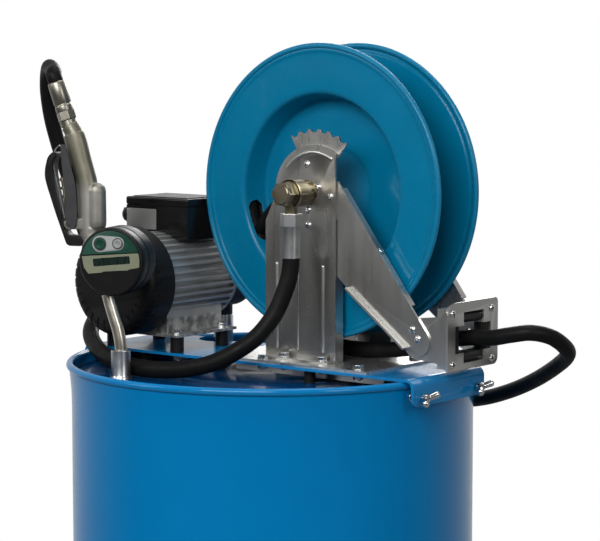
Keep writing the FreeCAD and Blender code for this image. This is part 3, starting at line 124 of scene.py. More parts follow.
class Nodes:
    """A material with short ways to add and link its shader nodes."""

    def __init__(self, name):
        self.material = bpy.data.materials.new(name)
        self.material.use_nodes = True
        self.tree = self.material.node_tree
        self.shader = self.tree.nodes["Principled BSDF"]
        self.place = self.add("ShaderNodeTexCoord").outputs["Object"]

    def add(self, kind, **values):
        node = self.tree.nodes.new(kind)
        for key, value in values.items():
            setattr(node, key, value)
        return node

    def link(self, source, target):
        self.tree.links.new(source, target)

    def noise(self, scale, detail=3.0, stretch=None):
        """Grey noise; stretch scales the three directions."""
        node = self.add("ShaderNodeTexNoise")
        node.inputs["Scale"].default_value = scale
        node.inputs["Detail"].default_value = detail
        source = self.place
        if stretch:
            mapping = self.add("ShaderNodeMapping")
            mapping.inputs["Scale"].default_value = stretch
            self.link(source, mapping.inputs["Vector"])
            source = mapping.outputs["Vector"]
        self.link(source, node.inputs["Vector"])
        return node.outputs["Fac"]

    def cells(self, scale):
        """A random grey for each cell."""
        node = self.add("ShaderNodeTexVoronoi")
        node.inputs["Scale"].default_value = scale
        self.link(self.place, node.inputs["Vector"])
        split = self.add("ShaderNodeSeparateColor")
        self.link(node.outputs["Color"], split.inputs["Color"])
        return split.outputs["Red"]

    def range(self, value, low, high, new_low=0.0, new_high=1.0):
        """Spreads a value's low to high over a new range."""
        node = self.add("ShaderNodeMapRange")
        self.link(value, node.inputs["Value"])
        numbers = {"From Min": low, "From Max": high, "To Min": new_low, "To Max": new_high}
        for key, number in numbers.items():
            node.inputs[key].default_value = number
        return node.outputs["Result"]

    def cloud(self, scale, detail, low=0.3, high=0.7, new_low=0.0, new_high=1.0):
        """Noise spread over a range."""
        return self.range(self.noise(scale, detail), low, high, new_low, new_high)

    def above(self, low, high):
        """Zero below one height, one above the other."""
        split = self.add("ShaderNodeSeparateXYZ")
        self.link(self.place, split.inputs["Vector"])
        return self.range(split.outputs["Z"], low, high)

    def mix(self, factor, first, second):
        """Mixes two colours; each is a colour or an output."""
        node = self.add("ShaderNodeMix", data_type="RGBA")
        self.link(factor, node.inputs["Factor"])
        for value, index in ((first, COLOUR_A), (second, COLOUR_B)):
            if isinstance(value, tuple):
                node.inputs[index].default_value = (*value, 1.0)
            else:
                self.link(value, node.inputs[index])
        return node.outputs[COLOUR_OUT]

    def wear_and_highlight_edges(self, tone, edge_colour, amount, low=0.505, high=0.56):
        """The tone, turning towards a lighter colour on sharp outer edges: partly bare wear, partly a
        painted highlight.
        """
        geometry = self.add("ShaderNodeNewGeometry")
        return self.mix(self.range(geometry.outputs["Pointiness"], low, high, 0.0, amount), tone, edge_colour)

    def colour(self, tone):
        self.link(tone, self.shader.inputs["Base Color"])

    def rough(self, scale, detail, lowest, highest, high=0.7):
        """Roughness that drifts between two values."""
        self.link(self.cloud(scale, detail, 0.3, high, lowest, highest), self.shader.inputs["Roughness"])

    def bump(self, height, strength, distance):
        """Adds a bump to the ones already there."""
        node = self.add("ShaderNodeBump")
        node.inputs["Strength"].default_value = strength
        node.inputs["Distance"].default_value = distance
        self.link(height, node.inputs["Height"])
        if self.shader.inputs["Normal"].is_linked:
            self.link(self.shader.inputs["Normal"].links[0].from_socket, node.inputs["Normal"])
        self.link(node.outputs["Normal"], self.shader.inputs["Normal"])

    def set(self, **values):
        for key, value in values.items():
            self.shader.inputs[key.replace("_", " ")].default_value = value


def brighter(colour, factor, lift=0.0):
    """The lighter colour that shows on a material's sharp edges: partly bare wear, partly a painted
    highlight.
    """
    return tuple(min(1.0, c * factor + lift) for c in colour)


def paint(name, colour, dark, roughness, coat, edge_wear_and_highlight):
    """Sprayed paint with orange peel, faint dust and lighter edges, partly worn and partly a painted
    highlight.
    """
    n = Nodes(name)
    base = n.mix(n.cloud(9.0, 4.0), dark, colour)
    # lighter blue on sharp edges: partly wear, partly painted highlight
    n.colour(n.wear_and_highlight_edges(base, (0.12, 0.32, 0.50), edge_wear_and_highlight, 0.51, 0.6))
    n.rough(35.0, 5.0, roughness, roughness + 0.10, 0.75)
    n.bump(n.noise(260.0, 2.0), 0.06, 0.0003)
    n.set(Coat_Weight=coat, Coat_Roughness=0.05, Specular_IOR_Level=0.13)
    return n.material


def sheet_zinc(name, light, dark, roughness):
    """Galvanised sheet: faint spangle, rolling direction and dull patches."""
    n = Nodes(name)
    tone = n.mix(n.range(n.cells(120.0), 0.0, 1.0, 0.40, 0.60), dark, light)
    tone = n.mix(n.cloud(16.0, 5.0, 0.35, 0.7, 0.0, 0.30), tone, dark)
    # near-white on sharp edges: partly bare wear, partly painted highlight
    n.colour(n.wear_and_highlight_edges(tone, (0.78, 0.78, 0.76), 0.5))
    streak = n.noise(90.0, 1.0, (1.0, 1.0, 0.12))
    n.link(n.range(streak, 0.3, 0.7, roughness, roughness + 0.06), n.shader.inputs["Roughness"])
    n.bump(n.noise(160.0, 1.0), 0.02, 0.0002)
    n.bump(n.noise(9.0, 2.0), 0.05, 0.0020)
    n.set(Metallic=0.92)
    return n.material


def metal(name, light, dark, roughness, scale=60.0, grain=0.015):
    """Turned or plated metal with uneven sheen."""
    n = Nodes(name)
    tone = n.mix(n.cloud(scale, 2.0), dark, light)
    # brighter tone on sharp edges: partly rubbed metal, partly painted highlight
    n.colour(n.wear_and_highlight_edges(tone, brighter(light, 1.25), 0.5))
    n.rough(scale, 1.0, roughness, roughness + 0.05)
    n.bump(n.noise(150.0, 2.0), grain, 0.0003)
    n.set(Metallic=1.0)
    return n.material


def cast_finish(n, tone, roughness, spread, pitting, metallic):
    """What all castings share: a colour, drifting roughness, fine pits and some metal sheen."""
    n.colour(tone)
    n.rough(80.0, 4.0, roughness, roughness + spread)
    n.bump(n.noise(900.0, 3.0), pitting, 0.0003)
    n.set(Metallic=metallic)


def casting(name, light, dark, roughness, metallic):
    """Die-cast skin: fine pitting over soft cloudy tone."""
    n = Nodes(name)
    tone = n.mix(n.cloud(30.0, 6.0), dark, light)
    # brighter tone on sharp edges: partly rubbed metal, partly painted highlight
    cast_finish(n, n.wear_and_highlight_edges(tone, brighter(light, 1.3), 0.5), roughness, 0.15, 0.22, metallic)
    n.bump(n.noise(120.0, 3.0), 0.08, 0.0008)
    return n.material


def handle_casting(name, low, high):
    """Satin cast skin that turns darker and warmer upwards, between two heights."""
    n = Nodes(name)
    cloud = n.cloud(30.0, 6.0)
    lower = n.mix(cloud, (0.27, 0.265, 0.24), (0.35, 0.345, 0.315))
    upper = n.mix(cloud, (0.155, 0.145, 0.110), (0.215, 0.205, 0.160))
    cast_finish(n, n.mix(n.above(low, high), lower, upper), 0.38, 0.14, 0.20, 0.82)
    n.bump(n.noise(120.0, 3.0), 0.08, 0.0008)
    return n.material


def motor_casting(name, low, high):
    """Ribbed aluminium above two heights and the saddle's rough, blotchy cast skin below them."""
    n = Nodes(name)
    saddle = n.mix(n.cloud(70.0, 7.0, 0.40, 0.62), (0.24, 0.24, 0.235), (0.66, 0.66, 0.65))
    ribs = n.mix(n.cloud(30.0, 6.0), (0.46, 0.465, 0.465), (0.58, 0.585, 0.585))
    cast_finish(n, n.mix(n.above(low, high), saddle, ribs), 0.38, 0.16, 0.18, 0.8)
    n.bump(n.noise(90.0, 5.0), 0.16, 0.0012)
    return n.material


def plastic(name, light, dark, roughness, texture, shine=0.22):
    """Moulded plastic with a fine spark-eroded grain."""
    n = Nodes(name)
    tone = n.mix(n.cloud(40.0, 5.0, 0.35), dark, light)
    # much lighter tone on sharp edges: mostly painted highlight, partly wear
    n.colour(n.wear_and_highlight_edges(tone, brighter(light, 2.2, 0.01), 0.35, 0.51, 0.58))
    n.rough(55.0, 4.0, roughness, roughness + 0.12)
    n.bump(n.noise(1100.0, 2.0), texture, 0.0002)
    n.set(Specular_IOR_Level=shine)
    return n.material


def rubber_hose(name):
    """Black hose cover with cloth-wrap marks and grey scuffs."""
    n = Nodes(name)
    scuff = n.cloud(28.0, 6.0, 0.52, 0.75, 0.0, 0.5)
    n.colour(n.mix(scuff, (0.0060, 0.0060, 0.0060), (0.017, 0.0165, 0.016)))
    n.rough(60.0, 4.0, 0.36, 0.55)
    wave = n.add("ShaderNodeTexWave", wave_type="BANDS", bands_direction="DIAGONAL")
    wave.inputs["Scale"].default_value = 90.0
    wave.inputs["Distortion"].default_value = 1.5
    n.link(n.place, wave.inputs["Vector"])
    n.bump(wave.outputs["Fac"], 0.10, 0.0003)
    n.bump(n.noise(900.0, 2.0), 0.12, 0.0002)
    n.set(Specular_IOR_Level=0.09)
    return n.material


def lens(name):
    """Dark display glass with faint vertical segments below the surface."""
    n = Nodes(name)
    segments = n.noise(500.0, 1.0, (1.0, 1.0, 0.1))
    n.colour(n.mix(n.range(segments, 0.4, 0.6), (0.006, 0.012, 0.010), (0.012, 0.022, 0.018)))
    n.rough(50.0, 3.0, 0.05, 0.10)
    return n.material


def floor_material():
    """Matt pale paper to the eye that throws little light back onto the object."""
    n = Nodes("floor_paper")
    tone = n.mix(n.noise(2.0, 3.0), (0.90, 0.90, 0.90), (0.93, 0.93, 0.93))
    seen = n.add("ShaderNodeLightPath").outputs["Is Camera Ray"]
    n.colour(n.mix(seen, (0.20, 0.20, 0.20), tone))
    n.set(Roughness=0.9)
    return n.material


DARKER_FROM, DARKER_TO = RIM + 0.238, RIM + 0.262
SADDLE_TOP, RIB_FOOT = RIM + 0.050, RIM + 0.055

# Each look: its maker, its name and the maker's values, most often two colours and a roughness.
LOOKS = [
    (paint, "drum_paint", (0.000, 0.170, 0.420), (0.000, 0.158, 0.395), 0.12, 0.18, 0.25),
    # the lid's paint is the drum's blue made darker: painted shade, also used on the drum's bottom
    (paint, "lid_paint", (0.001, 0.036, 0.120), (0.000, 0.030, 0.102), 0.12, 0.06, 0.2),
    (paint, "reel_paint", (0.000, 0.158, 0.300), (0.000, 0.142, 0.270), 0.24, 0.12, 0.3),
    (sheet_zinc, "galvanised", (0.45, 0.445, 0.425), (0.34, 0.335, 0.32), 0.27),
    (sheet_zinc, "plate_grey", (0.40, 0.405, 0.40), (0.32, 0.325, 0.32), 0.32),
    (metal, "bright_zinc", (0.70, 0.71, 0.71), (0.52, 0.53, 0.54), 0.16),
    (metal, "ferrule_zinc", (0.27, 0.26, 0.215), (0.21, 0.20, 0.165), 0.34, 30.0),
    (metal, "ferrule_bright", (0.62, 0.63, 0.63), (0.50, 0.51, 0.52), 0.28, 30.0),
    (metal, "chrome", (0.66, 0.63, 0.55), (0.54, 0.51, 0.43), 0.30, 40.0, 0.0),
    (metal, "brass", (0.42, 0.37, 0.26), (0.30, 0.26, 0.17), 0.26),
    (metal, "bronze_dark", (0.30, 0.265, 0.19), (0.20, 0.175, 0.12), 0.28),
    (metal, "machine_steel", (0.58, 0.59, 0.60), (0.44, 0.45, 0.46), 0.28),
    (metal, "dark_steel", (0.22, 0.22, 0.22), (0.14, 0.14, 0.14), 0.30),
    (handle_casting, "cast_aluminium", DARKER_FROM, DARKER_TO),
    (motor_casting, "motor_aluminium", SADDLE_TOP, RIB_FOOT),
    (casting, "dark_casting", (0.020, 0.020, 0.022), (0.012, 0.012, 0.013), 0.45, 0.2),
    (rubber_hose, "rubber"),
    (plastic, "black_plastic", (0.0065, 0.0065, 0.0070), (0.004, 0.004, 0.0045), 0.38, 0.18),
    (plastic, "gloss_black", (0.0045, 0.0045, 0.0045), (0.003, 0.003, 0.003), 0.16, 0.03, 0.35),
    (plastic, "roller_black", (0.010, 0.010, 0.011), (0.006, 0.006, 0.007), 0.30, 0.10),
    (plastic, "grey_plastic", (0.040, 0.040, 0.042), (0.028, 0.028, 0.030), 0.42, 0.20),
    (plastic, "label_green", (0.012, 0.050, 0.035), (0.009, 0.040, 0.028), 0.30, 0.03, 0.10),
    (plastic, "label_beige", (0.160, 0.170, 0.118), (0.135, 0.145, 0.100), 0.35, 0.03, 0.12),
    (plastic, "label_grey", (0.26, 0.265, 0.265), (0.20, 0.205, 0.205), 0.30, 0.05),
    (lens, "lens"),
]
MATERIALS = {name: make(name, *values) for make, name, *values in LOOKS}


# ---------------- mesh helpers

SHARP = 35.0        # degrees from which an edge is drawn sharp
ORIGIN = Vector((0, 0, 0))


def new_object(name, data):
    """An object in the scene that holds a mesh, a light or a camera."""
    item = bpy.data.objects.new(name, data)
    bpy.context.scene.collection.objects.link(item)
    return item


def smooth_shaded(mesh):
    """Smooth shading with sharp edges."""
    mesh.shade_smooth()
    mesh.set_sharp_from_angle(angle=math.radians(SHARP))


def piece(name, mesh, look, body, nodes=()):
    """Turns a mesh into a named piece that rides on a body and may stand for CAD nodes."""
    mesh.materials.clear()
    mesh.materials.append(MATERIALS[look])
    smooth_shaded(mesh)
    item = new_object(name, mesh)
    if body:
        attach(item, body)
    if nodes:
        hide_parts(*nodes)
    return item


def modify(item, name, kind, **values):
    """Adds a modifier with its settings."""
    modifier = item.modifiers.new(name, kind)
    for key, value in values.items():
        setattr(modifier, key, value)


def bevel(item, width, segments=2, angle=40.0):
    """Rounded edges, width in millimetres."""
    modify(item, "edge", "BEVEL", width=width / 1000, segments=segments, limit_method="ANGLE",
           angle_limit=math.radians(angle), harden_normals=True)
    return item


def skin(item, voxel, smoothing=6):
    """Fuses overlapping shapes into one softened cast skin; voxel in millimetres."""
    modify(item, "fuse", "REMESH", mode="VOXEL", voxel_size=voxel / 1000, use_smooth_shade=True)
    modify(item, "soften", "SMOOTH", factor=0.5, iterations=smoothing)


def mesh_of(name, work):
    """The finished mesh of a bmesh."""
    mesh = bpy.data.meshes.new(name)
    work.to_mesh(mesh)
    work.free()
    return mesh


def mesh_from(name, vertices, faces):
    """A mesh with outward normals."""
    mesh = bpy.data.meshes.new(name)
    mesh.from_pydata([tuple(v) for v in vertices], [], faces)
    work = bmesh.new()
    work.from_mesh(mesh)
    bmesh.ops.recalc_face_normals(work, faces=work.faces)
    work.to_mesh(mesh)
    work.free()
    return mesh


def joined(name, meshes):
    """One mesh out of several."""
    work = bmesh.new()
    for mesh in meshes:
        work.from_mesh(mesh)
    return mesh_of(name, work)


def frame_axes(axis):
    """Two directions across an axis."""
    side = axis.cross(Z_AXIS if abs(axis.z) < 0.9 else X_AXIS).normalized()
    return side, axis.cross(side).normalized()


def lathe(name, profile, centre, axis, count=96, closed=False):
    """Spins (radius, distance) steps in millimetres; an open profile starts and ends on the axis."""
    side, up = frame_axes(axis)
    vertices = []
    rings = []
    for radius, distance in profile:
        if radius < 1e-6:
            rings.append([len(vertices)])
            vertices.append(centre + axis * (distance / 1000))
            continue
        start = len(vertices)
        for k in range(count):
            turn = 2 * math.pi * k / count
            out = side * math.cos(turn) + up * math.sin(turn)
            vertices.append(centre + axis * (distance / 1000) + out * (radius / 1000))
        rings.append(list(range(start, start + count)))
    faces = []
    pairs = list(zip(rings, rings[1:]))
    if closed:
        pairs.append((rings[-1], rings[0]))
    for first, second in pairs:
        for k in range(count):
            n = (k + 1) % count
            if len(first) == 1 and len(second) == 1:
                break
            if len(first) == 1:
                faces.append((first[0], second[k], second[n]))
            elif len(second) == 1:
                faces.append((first[k], first[n], second[0]))
            else:
                faces.append((first[k], first[n], second[n], second[k]))
    return mesh_from(name, vertices, faces)


def rounded(points, radius, steps=5, closed=False):
    """The polyline with each inner corner rounded."""
    result = []
    count = len(points)
    for k, point in enumerate(points):
        if not closed and k in (0, count - 1):
            result.append(point)
            continue
        here = Vector(point)
        before = Vector(points[k - 1]) - here
        after = Vector(points[(k + 1) % count]) - here
        reach = min(radius, 0.45 * before.length, 0.45 * after.length)
        first = here + before.normalized() * reach
        last = here + after.normalized() * reach
        for s in range(steps + 1):
            t = s / steps
            spot = first * (1 - t) ** 2 + here * (2 * t * (1 - t)) + last * t ** 2
            result.append(tuple(spot))
    return result


def smooth_path(points, per_span=10):
    """A Catmull-Rom path through the points."""
    path = []
    ends = [points[0] * 2 - points[1]] + list(points) + [points[-1] * 2 - points[-2]]
    for k in range(1, len(ends) - 2):
        a, b, c, d = ends[k - 1:k + 3]
        for s in range(per_span):
            t = s / per_span
            spot = b * 2 + (c - a) * t + (a * 2 - b * 5 + c * 4 - d) * t ** 2
            path.append((spot + (b * 3 - a - c * 3 + d) * t ** 3) / 2)
    path.append(points[-1])
    return path


def tube(name, path, radius, count=28, closed=False, swell=None):
    """A round tube along a path; radius in millimetres; swell changes the radius along it."""
    total = len(path)
    vertices = []
    faces = []
    tangent = (path[1] - path[0]).normalized()
    side, _ = frame_axes(tangent)
    for k, spot in enumerate(path):
        before = path[k - 1] if (closed or k) else path[k]
        after = path[(k + 1) % total] if (closed or k < total - 1) else path[k]
        tangent = (after - before).normalized()
        side = (side - tangent * side.dot(tangent)).normalized()
        up = tangent.cross(side)
        reach = (radius * (swell(k / (total - 1)) if swell else 1.0)) / 1000
        for s in range(count):
            turn = 2 * math.pi * s / count
            vertices.append(spot + side * (reach * math.cos(turn)) + up * (reach * math.sin(turn)))
    lengths = total if closed else total - 1
    for k in range(lengths):
        low, high = k * count, ((k + 1) % total) * count
        for s in range(count):
            n = (s + 1) % count
            faces.append((low + s, low + n, high + n, high + s))
    if not closed:
        faces.append(tuple(range(count)))
        faces.append(tuple(range((total - 1) * count, total * count)))
    return mesh_from(name, vertices, faces)


def slab(name, outline, low, high, put):
    """A flat plate from a 2-D outline; put(a, b, depth) makes it 3-D."""
    count = len(outline)
    vertices = [put(a, b, low) for a, b in outline] + [put(a, b, high) for a, b in outline]
    faces = [tuple(range(count)), tuple(range(count, 2 * count))]
    for k in range(count):
        n = (k + 1) % count
        faces.append((k, n, count + n, count + k))
    return mesh_from(name, vertices, faces)


def nozzle_slab(name, outline, low, high):
    """A plate in the nozzle's own frame, from (u, z) steps, thick along w."""
    return slab(name, outline, low, high, lambda u, z, w: nozzle(u, w, z))


def circle(a, b, radius, count=48, start=0.0, end=360.0):
    """Points of an arc or a full circle."""
    full = abs(end - start) >= 360
    steps = count if full else count + 1
    points = []
    for k in range(steps):
        turn = math.radians(start + (end - start) * k / count)
        points.append((a + radius * math.cos(turn), b + radius * math.sin(turn)))
    return points


def box_mesh(name, low, high):
    """A block between two corners, to be rounded by modifiers."""
    work = bmesh.new()
    bmesh.ops.create_cube(work, size=1.0)
    for vertex in work.verts:
        for k in range(3):
            vertex.co[k] = (low[k] + high[k]) / 2 + vertex.co[k] * (high[k] - low[k])
    return mesh_of(name, work)


def carve(item, cutters):
    """Cuts meshes out of a piece and keeps the result as plain mesh."""
    helpers = [new_object("cutter", cutter) for cutter in cutters]
    for helper in helpers:
        modify(item, "cut", "BOOLEAN", operation="DIFFERENCE", solver="EXACT", object=helper)
    bpy.context.view_layer.update()
    graph = bpy.context.evaluated_depsgraph_get()
    result = bpy.data.meshes.new_from_object(item.evaluated_get(graph))
    item.modifiers.clear()
    item.data = result
    smooth_shaded(result)
    for helper in helpers:
        bpy.data.objects.remove(helper)


def refine(node, look, width=0.6, segments=2):
    """A finished copy of a CAD node: clean faces, rounded edges, its own material."""
    source = frame["nodes"][node]
    work = bmesh.new()
    work.from_mesh(source.data)
    bmesh.ops.remove_doubles(work, verts=work.verts, dist=0.00001)
    flat = math.radians(0.5)
    bmesh.ops.dissolve_limit(work, angle_limit=flat, verts=work.verts, edges=work.edges)
    item = piece(node + "_finish", mesh_of(node + "_skin", work), look, body_of(source)[0], (node,))
    if width:
        bevel(item, width, segments)


# ---------------- drum

DRUM_RADIUS = 287.0
DRUM_WALL = 1.5
DRUM_HEIGHT = 1000 * RIM
HOOP_RISE, HOOP_HALF = 8.0, 14.0
BEAD_TUBE = 5.2
DRUM_STEPS = 224    # points around the drum


def smooth_steps(steps, per_span=6):
    """A smooth line of (radius, height) steps."""
    return [(p.x, p.z) for p in smooth_path([Vector((r, 0, z)) for r, z in steps], per_span)]


def drum():
    """Sheet-steel drum: wall with hoops and rolled edges, the head with its bung holes, the bottom."""
    foot = -DRUM_HEIGHT
    outer = [(DRUM_RADIUS, foot + 13)]
    for hoop in (-2 * DRUM_HEIGHT / 3, -DRUM_HEIGHT / 3):
        for k in range(-8, 9):
            rise = HOOP_RISE * (1 + math.cos(math.pi * k / 8)) / 2
            outer.append((DRUM_RADIUS + rise, hoop + HOOP_HALF * k / 8))
    neck = [(0, -70), (0.4, -45), (1.6, -28), (2.8, -16)]
    outer += smooth_steps([(DRUM_RADIUS + out, z) for out, z in neck])
    bead = circle(289.3, -BEAD_TUBE, BEAD_TUBE, 24, -80, 215)
    inner = [(DRUM_RADIUS - DRUM_WALL, -18)]
    inner += [(r - DRUM_WALL, z) for r, z in reversed(outer) if z < -60]
    chime = [(283, 12), (283.5, 1), (286, 0), (291, 0), (293, 2), (293, 10), (290, 13)]
    profile = outer + bead + inner + [(r, foot + z) for r, z in chime]
    mesh = lathe("drum_wall_mesh", profile, station(0, 0, 0), Z_AXIS, DRUM_STEPS, True)
    piece("drum_wall", mesh, "drum_paint", "station", ("drum_shell",))
    head = [
        (0, -20), (60, -20), (64, -19), (150, -19), (154, -20), (256, -20), (262, -18.6), (274, -18.6),
        (279, -20), (283, -20), (285.4, -17), (285.4, -22), (262, -21.6), (0, -21.6),
    ]
    mesh = lathe("drum_lid_mesh", head, station(0, 0, 0), Z_AXIS, DRUM_STEPS)
    # painted shade: the head gets the darker copy of the drum's blue
    lid = piece("drum_lid", mesh, "lid_paint", "station", ("drum_shell",))
    cutters = []
    for spot, radius in ((middle("suction_tube"), 29), (station(173, -94, 0), 12)):
        hole = [(0, -40), (radius, -40), (radius, 0), (0, 0)]
        cutters.append(lathe("hole", hole, Vector((spot.x, spot.y, RIM)), Z_AXIS, 40))
    carve(lid, cutters)
    base = [(0, 14), (250, 14), (280, 17), (285.4, 20), (285.4, 17), (252, 12.5), (0, 12.5)]
    base = [(r, foot + z) for r, z in base]
    mesh = lathe("drum_bottom_mesh", base, station(0, 0, 0), Z_AXIS, 160)
    # painted shade: the bottom shares the head's darker copy of the drum's blue
    piece("drum_bottom", mesh, "lid_paint", "station", ("drum_shell",))


# ---------------- reel

REEL_X, REEL_Z = 86.0, 242.0
REEL_WIDTH = 84.0           # the far disc mirrors the near one across it
DISC_STEPS = 256            # points around a disc
HOSE_RADIUS = 10.9
COIL_RADIUS = 145.5         # of the turns on the dish walls
OUTER_COIL_RADIUS = 168.0   # of the layer above them
COIL_STEPS = 160


def reel_centre(y):
    """Point of the reel's axis."""
    return station(REEL_X, y, REEL_Z)


def disc_profile():
    """Half section of a reel disc: hub edge, dish floor, dish wall, flat ring and rolled lip."""
    dish = [(12.4, 38), (58, 38), (62, 36.6), (117, 36.6), (126.5, 35), (137, -3), (165, -3)]
    front = rounded(dish, 7.0, 6)
    front += rounded([(185, -3), (193, -3), (195.5, -4.5), (198.8, -4.5)], 1.6, 4)
    lip = circle(203, -3.0, 4.0, 20, 200, 520)
    back = []
    for r, y in reversed(front):
        on_dish_wall = 118 <= r <= 141
        back.append((r + 1.5, y + 0.5) if on_dish_wall else (r, y + 1.6))
    return front + lip + back


def reel_discs():
    """The two pressed discs; the near one has a slot for the inner hose."""
    near = lathe("near_disc_mesh", disc_profile(), reel_centre(0), Y_AXIS, DISC_STEPS, True)
    item = piece("disc_near", near, "reel_paint", "reel", ("reel_disc_near",))
    cutters = []
    slot_angle = math.radians(21)
    away = Vector((-math.cos(slot_angle), 0, -math.sin(slot_angle)))
    for degrees in (-8, -4, 0, 4, 8):
        turned = Matrix.Rotation(math.radians(degrees), 3, "Y") @ away
        path = [reel_centre(15) + turned * 0.105, reel_centre(15) + turned * 0.15]
        cutters.append(tube("slot", path, 12, 24))
    carve(item, cutters)
    mirrored = [(r, REEL_WIDTH - y) for r, y in disc_profile()]
    far = lathe("far_disc_mesh", mirrored, reel_centre(0), Y_AXIS, DISC_STEPS, True)
    piece("disc_far", far, "reel_paint", "reel", ("reel_disc_far",))


def around_reel(y, radius, degrees):
    """Point of a hose turn about the reel's axis."""
    turn = math.radians(degrees)
    return reel_centre(y) + Vector((math.cos(turn), 0, math.sin(turn))) * (radius / 1000)


def wound_hose():
    """Three turns of hose on the dish walls."""
    turns = []
    for y in (19.5, 42.0, 64.5):
        path = [around_reel(y, COIL_RADIUS, 360 * k / COIL_STEPS) for k in range(COIL_STEPS)]
        turns.append(tube("turn", path, HOSE_RADIUS, 28, True))
    piece("wound_turns", joined("wound_turns_mesh", turns), "rubber", "reel", ("hose_coil",))


# ---------------- hoses

SUPPLY_RADIUS = 12.0
INNER_RADIUS = 8.2
HOSE_LINK = station(-325, 25, 80)       # where the fixed hose hands over to the nozzle's own length
INLET_FOOT = nozzle(-73.0, 0, 331.0)    # both ends of the nozzle's inlet fitting
INLET_END = nozzle(-93.7, 0, 394.0)

def supply_path():
    """Middle line of the hose from the swivel to the pump."""
    points = [
        (86, -65, 158), (85.5, -66, 140), (83, -70, 118), (73, -82, 80), (57, -100, 48), (36, -122, 26),
        (8, -140, 9), (-28, -152, -1), (-72, -157, -6), (-122, -157.5, -6.5), (-180, -146, -2),
        (-230, -123, 9), (-268, -96, 24), (-287, -64, 42), (-287, -30, 66), (-282, 0, 94),
        (-275, 28, 118), (-272, 50, 131),
    ]
    return [station(*p) for p in points]


def delivery_path():
    """Middle line of the hose: off the reel, through the guide and round the drum's back."""
    points = [
        (-42, 42, 119), (-10, 42, 69), (32, 42, 34), (84, 41, 20.5), (150, 40, 20), (215, 40, 28),
        (268, 40, 43), (317, 40, 51), (348, 40, 53), (376, 42, 59), (402, 52, 63), (418, 74, 57),
        (423, 100, 43), (416, 124, 28), (385, 152, 8), (324, 192, -23), (259, 225, -50), (185, 256, -73),
        (100, 299, -88), (0, 315, -93), (-105, 302, -88), (-195, 256, -72), (-262, 200, -38),
        (-306, 142, 4), (-324, 85, 44),
    ]
    outer_turn = [around_reel(42, OUTER_COIL_RADIUS, degrees) for degrees in range(150, 206, 11)]
    return outer_turn + [station(*p) for p in points] + [HOSE_LINK]


def nozzle_hose_path():
    """Middle line of the hose length that lifts with the nozzle."""
    points = [
        (-313, -25, 115), (-296, -65, 148), (-281, -95, 178), (-272, -115, 208), (-271, -131, 245),
        (-275, -147, 291), (-279, -160, 337), (-275, -172, 376), (-263, -184, 402), (-243, -200, 415),
        (-222, -213, 410),
    ]
    path = [HOSE_LINK] + [station(*p) for p in points]
    along = (INLET_END - INLET_FOOT) / (INLET_END.z - INLET_FOOT.z)
    for above in (0.010, -0.004):
        path.append(INLET_END + along * above)
    return path


def hoses():
    """Rubber hoses as swept skins."""
    supply = tube("supply_mesh", smooth_path(supply_path()), SUPPLY_RADIUS)
    piece("supply_line", supply, "rubber", "station", ("supply_hose",))
    delivery = tube("delivery_mesh", smooth_path(delivery_path()), HOSE_RADIUS)
    piece("delivery_line", delivery, "rubber", "station", ("delivery_hose",))
    rising = tube("rising_mesh", smooth_path(nozzle_hose_path(), 16), HOSE_RADIUS)
    rising_piece = piece("rising_line", rising, "rubber", None, ("nozzle_hose",))
    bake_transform(rising_piece, "station", "nozzle", tuple(HOSE_LINK), tuple(HOSE_LINK + Z_AXIS * 0.240))
    outlet = Vector((-62, 5, -12)).normalized()
    spots = [reel_centre(5) + outlet * 0.036, reel_centre(5) + outlet * 0.044]
    for across, y, drop in ((62, 9.5, 12), (88, 11, 25), (105, 13, 40), (117, 15, 53), (124, 17, 62)):
        spots.append(reel_centre(y) - X_AXIS * (across / 1000) - Z_AXIS * (drop / 1000))
    inner = tube("inner_mesh", smooth_path(spots), INNER_RADIUS)
    piece("inner_line", inner, "rubber", "reel", ("inner_hose",))


# ---------------- screws

def pan_head(radius, height, recess):
    """Pan head with a cross recess, about the origin, pointing along +Z."""
    edge, dome = 0.25 * height, 0.75 * height
    profile = [(0, 0), (radius, 0), (radius, edge)]
    for degrees in range(15, 90, 15):
        turn = math.radians(degrees)
        profile.append((radius * math.cos(turn), edge + dome * math.sin(turn)))
    profile.append((0, height))
    item = piece("head_pattern", lathe("head", profile, ORIGIN, Z_AXIS, 36), "bright_zinc", "station")
    low = Vector((-recess, -0.5, 0.45 * height)) / 1000
    high = Vector((recess, 0.5, 10.0)) / 1000
    cutters = []
    for degrees in (0, 90):
        bar = box_mesh("bar", low, high)
        bar.transform(Matrix.Rotation(math.radians(degrees), 4, "Z"))
        cutters.append(bar)
    carve(item, cutters)
    mesh = item.data.copy()
    bpy.data.objects.remove(item)
    return mesh


def facing(axis, spot):
    """Transform that takes +Z to an axis at a spot."""
    return Matrix.Translation(spot) @ Z_AXIS.rotation_difference(axis).to_matrix().to_4x4()


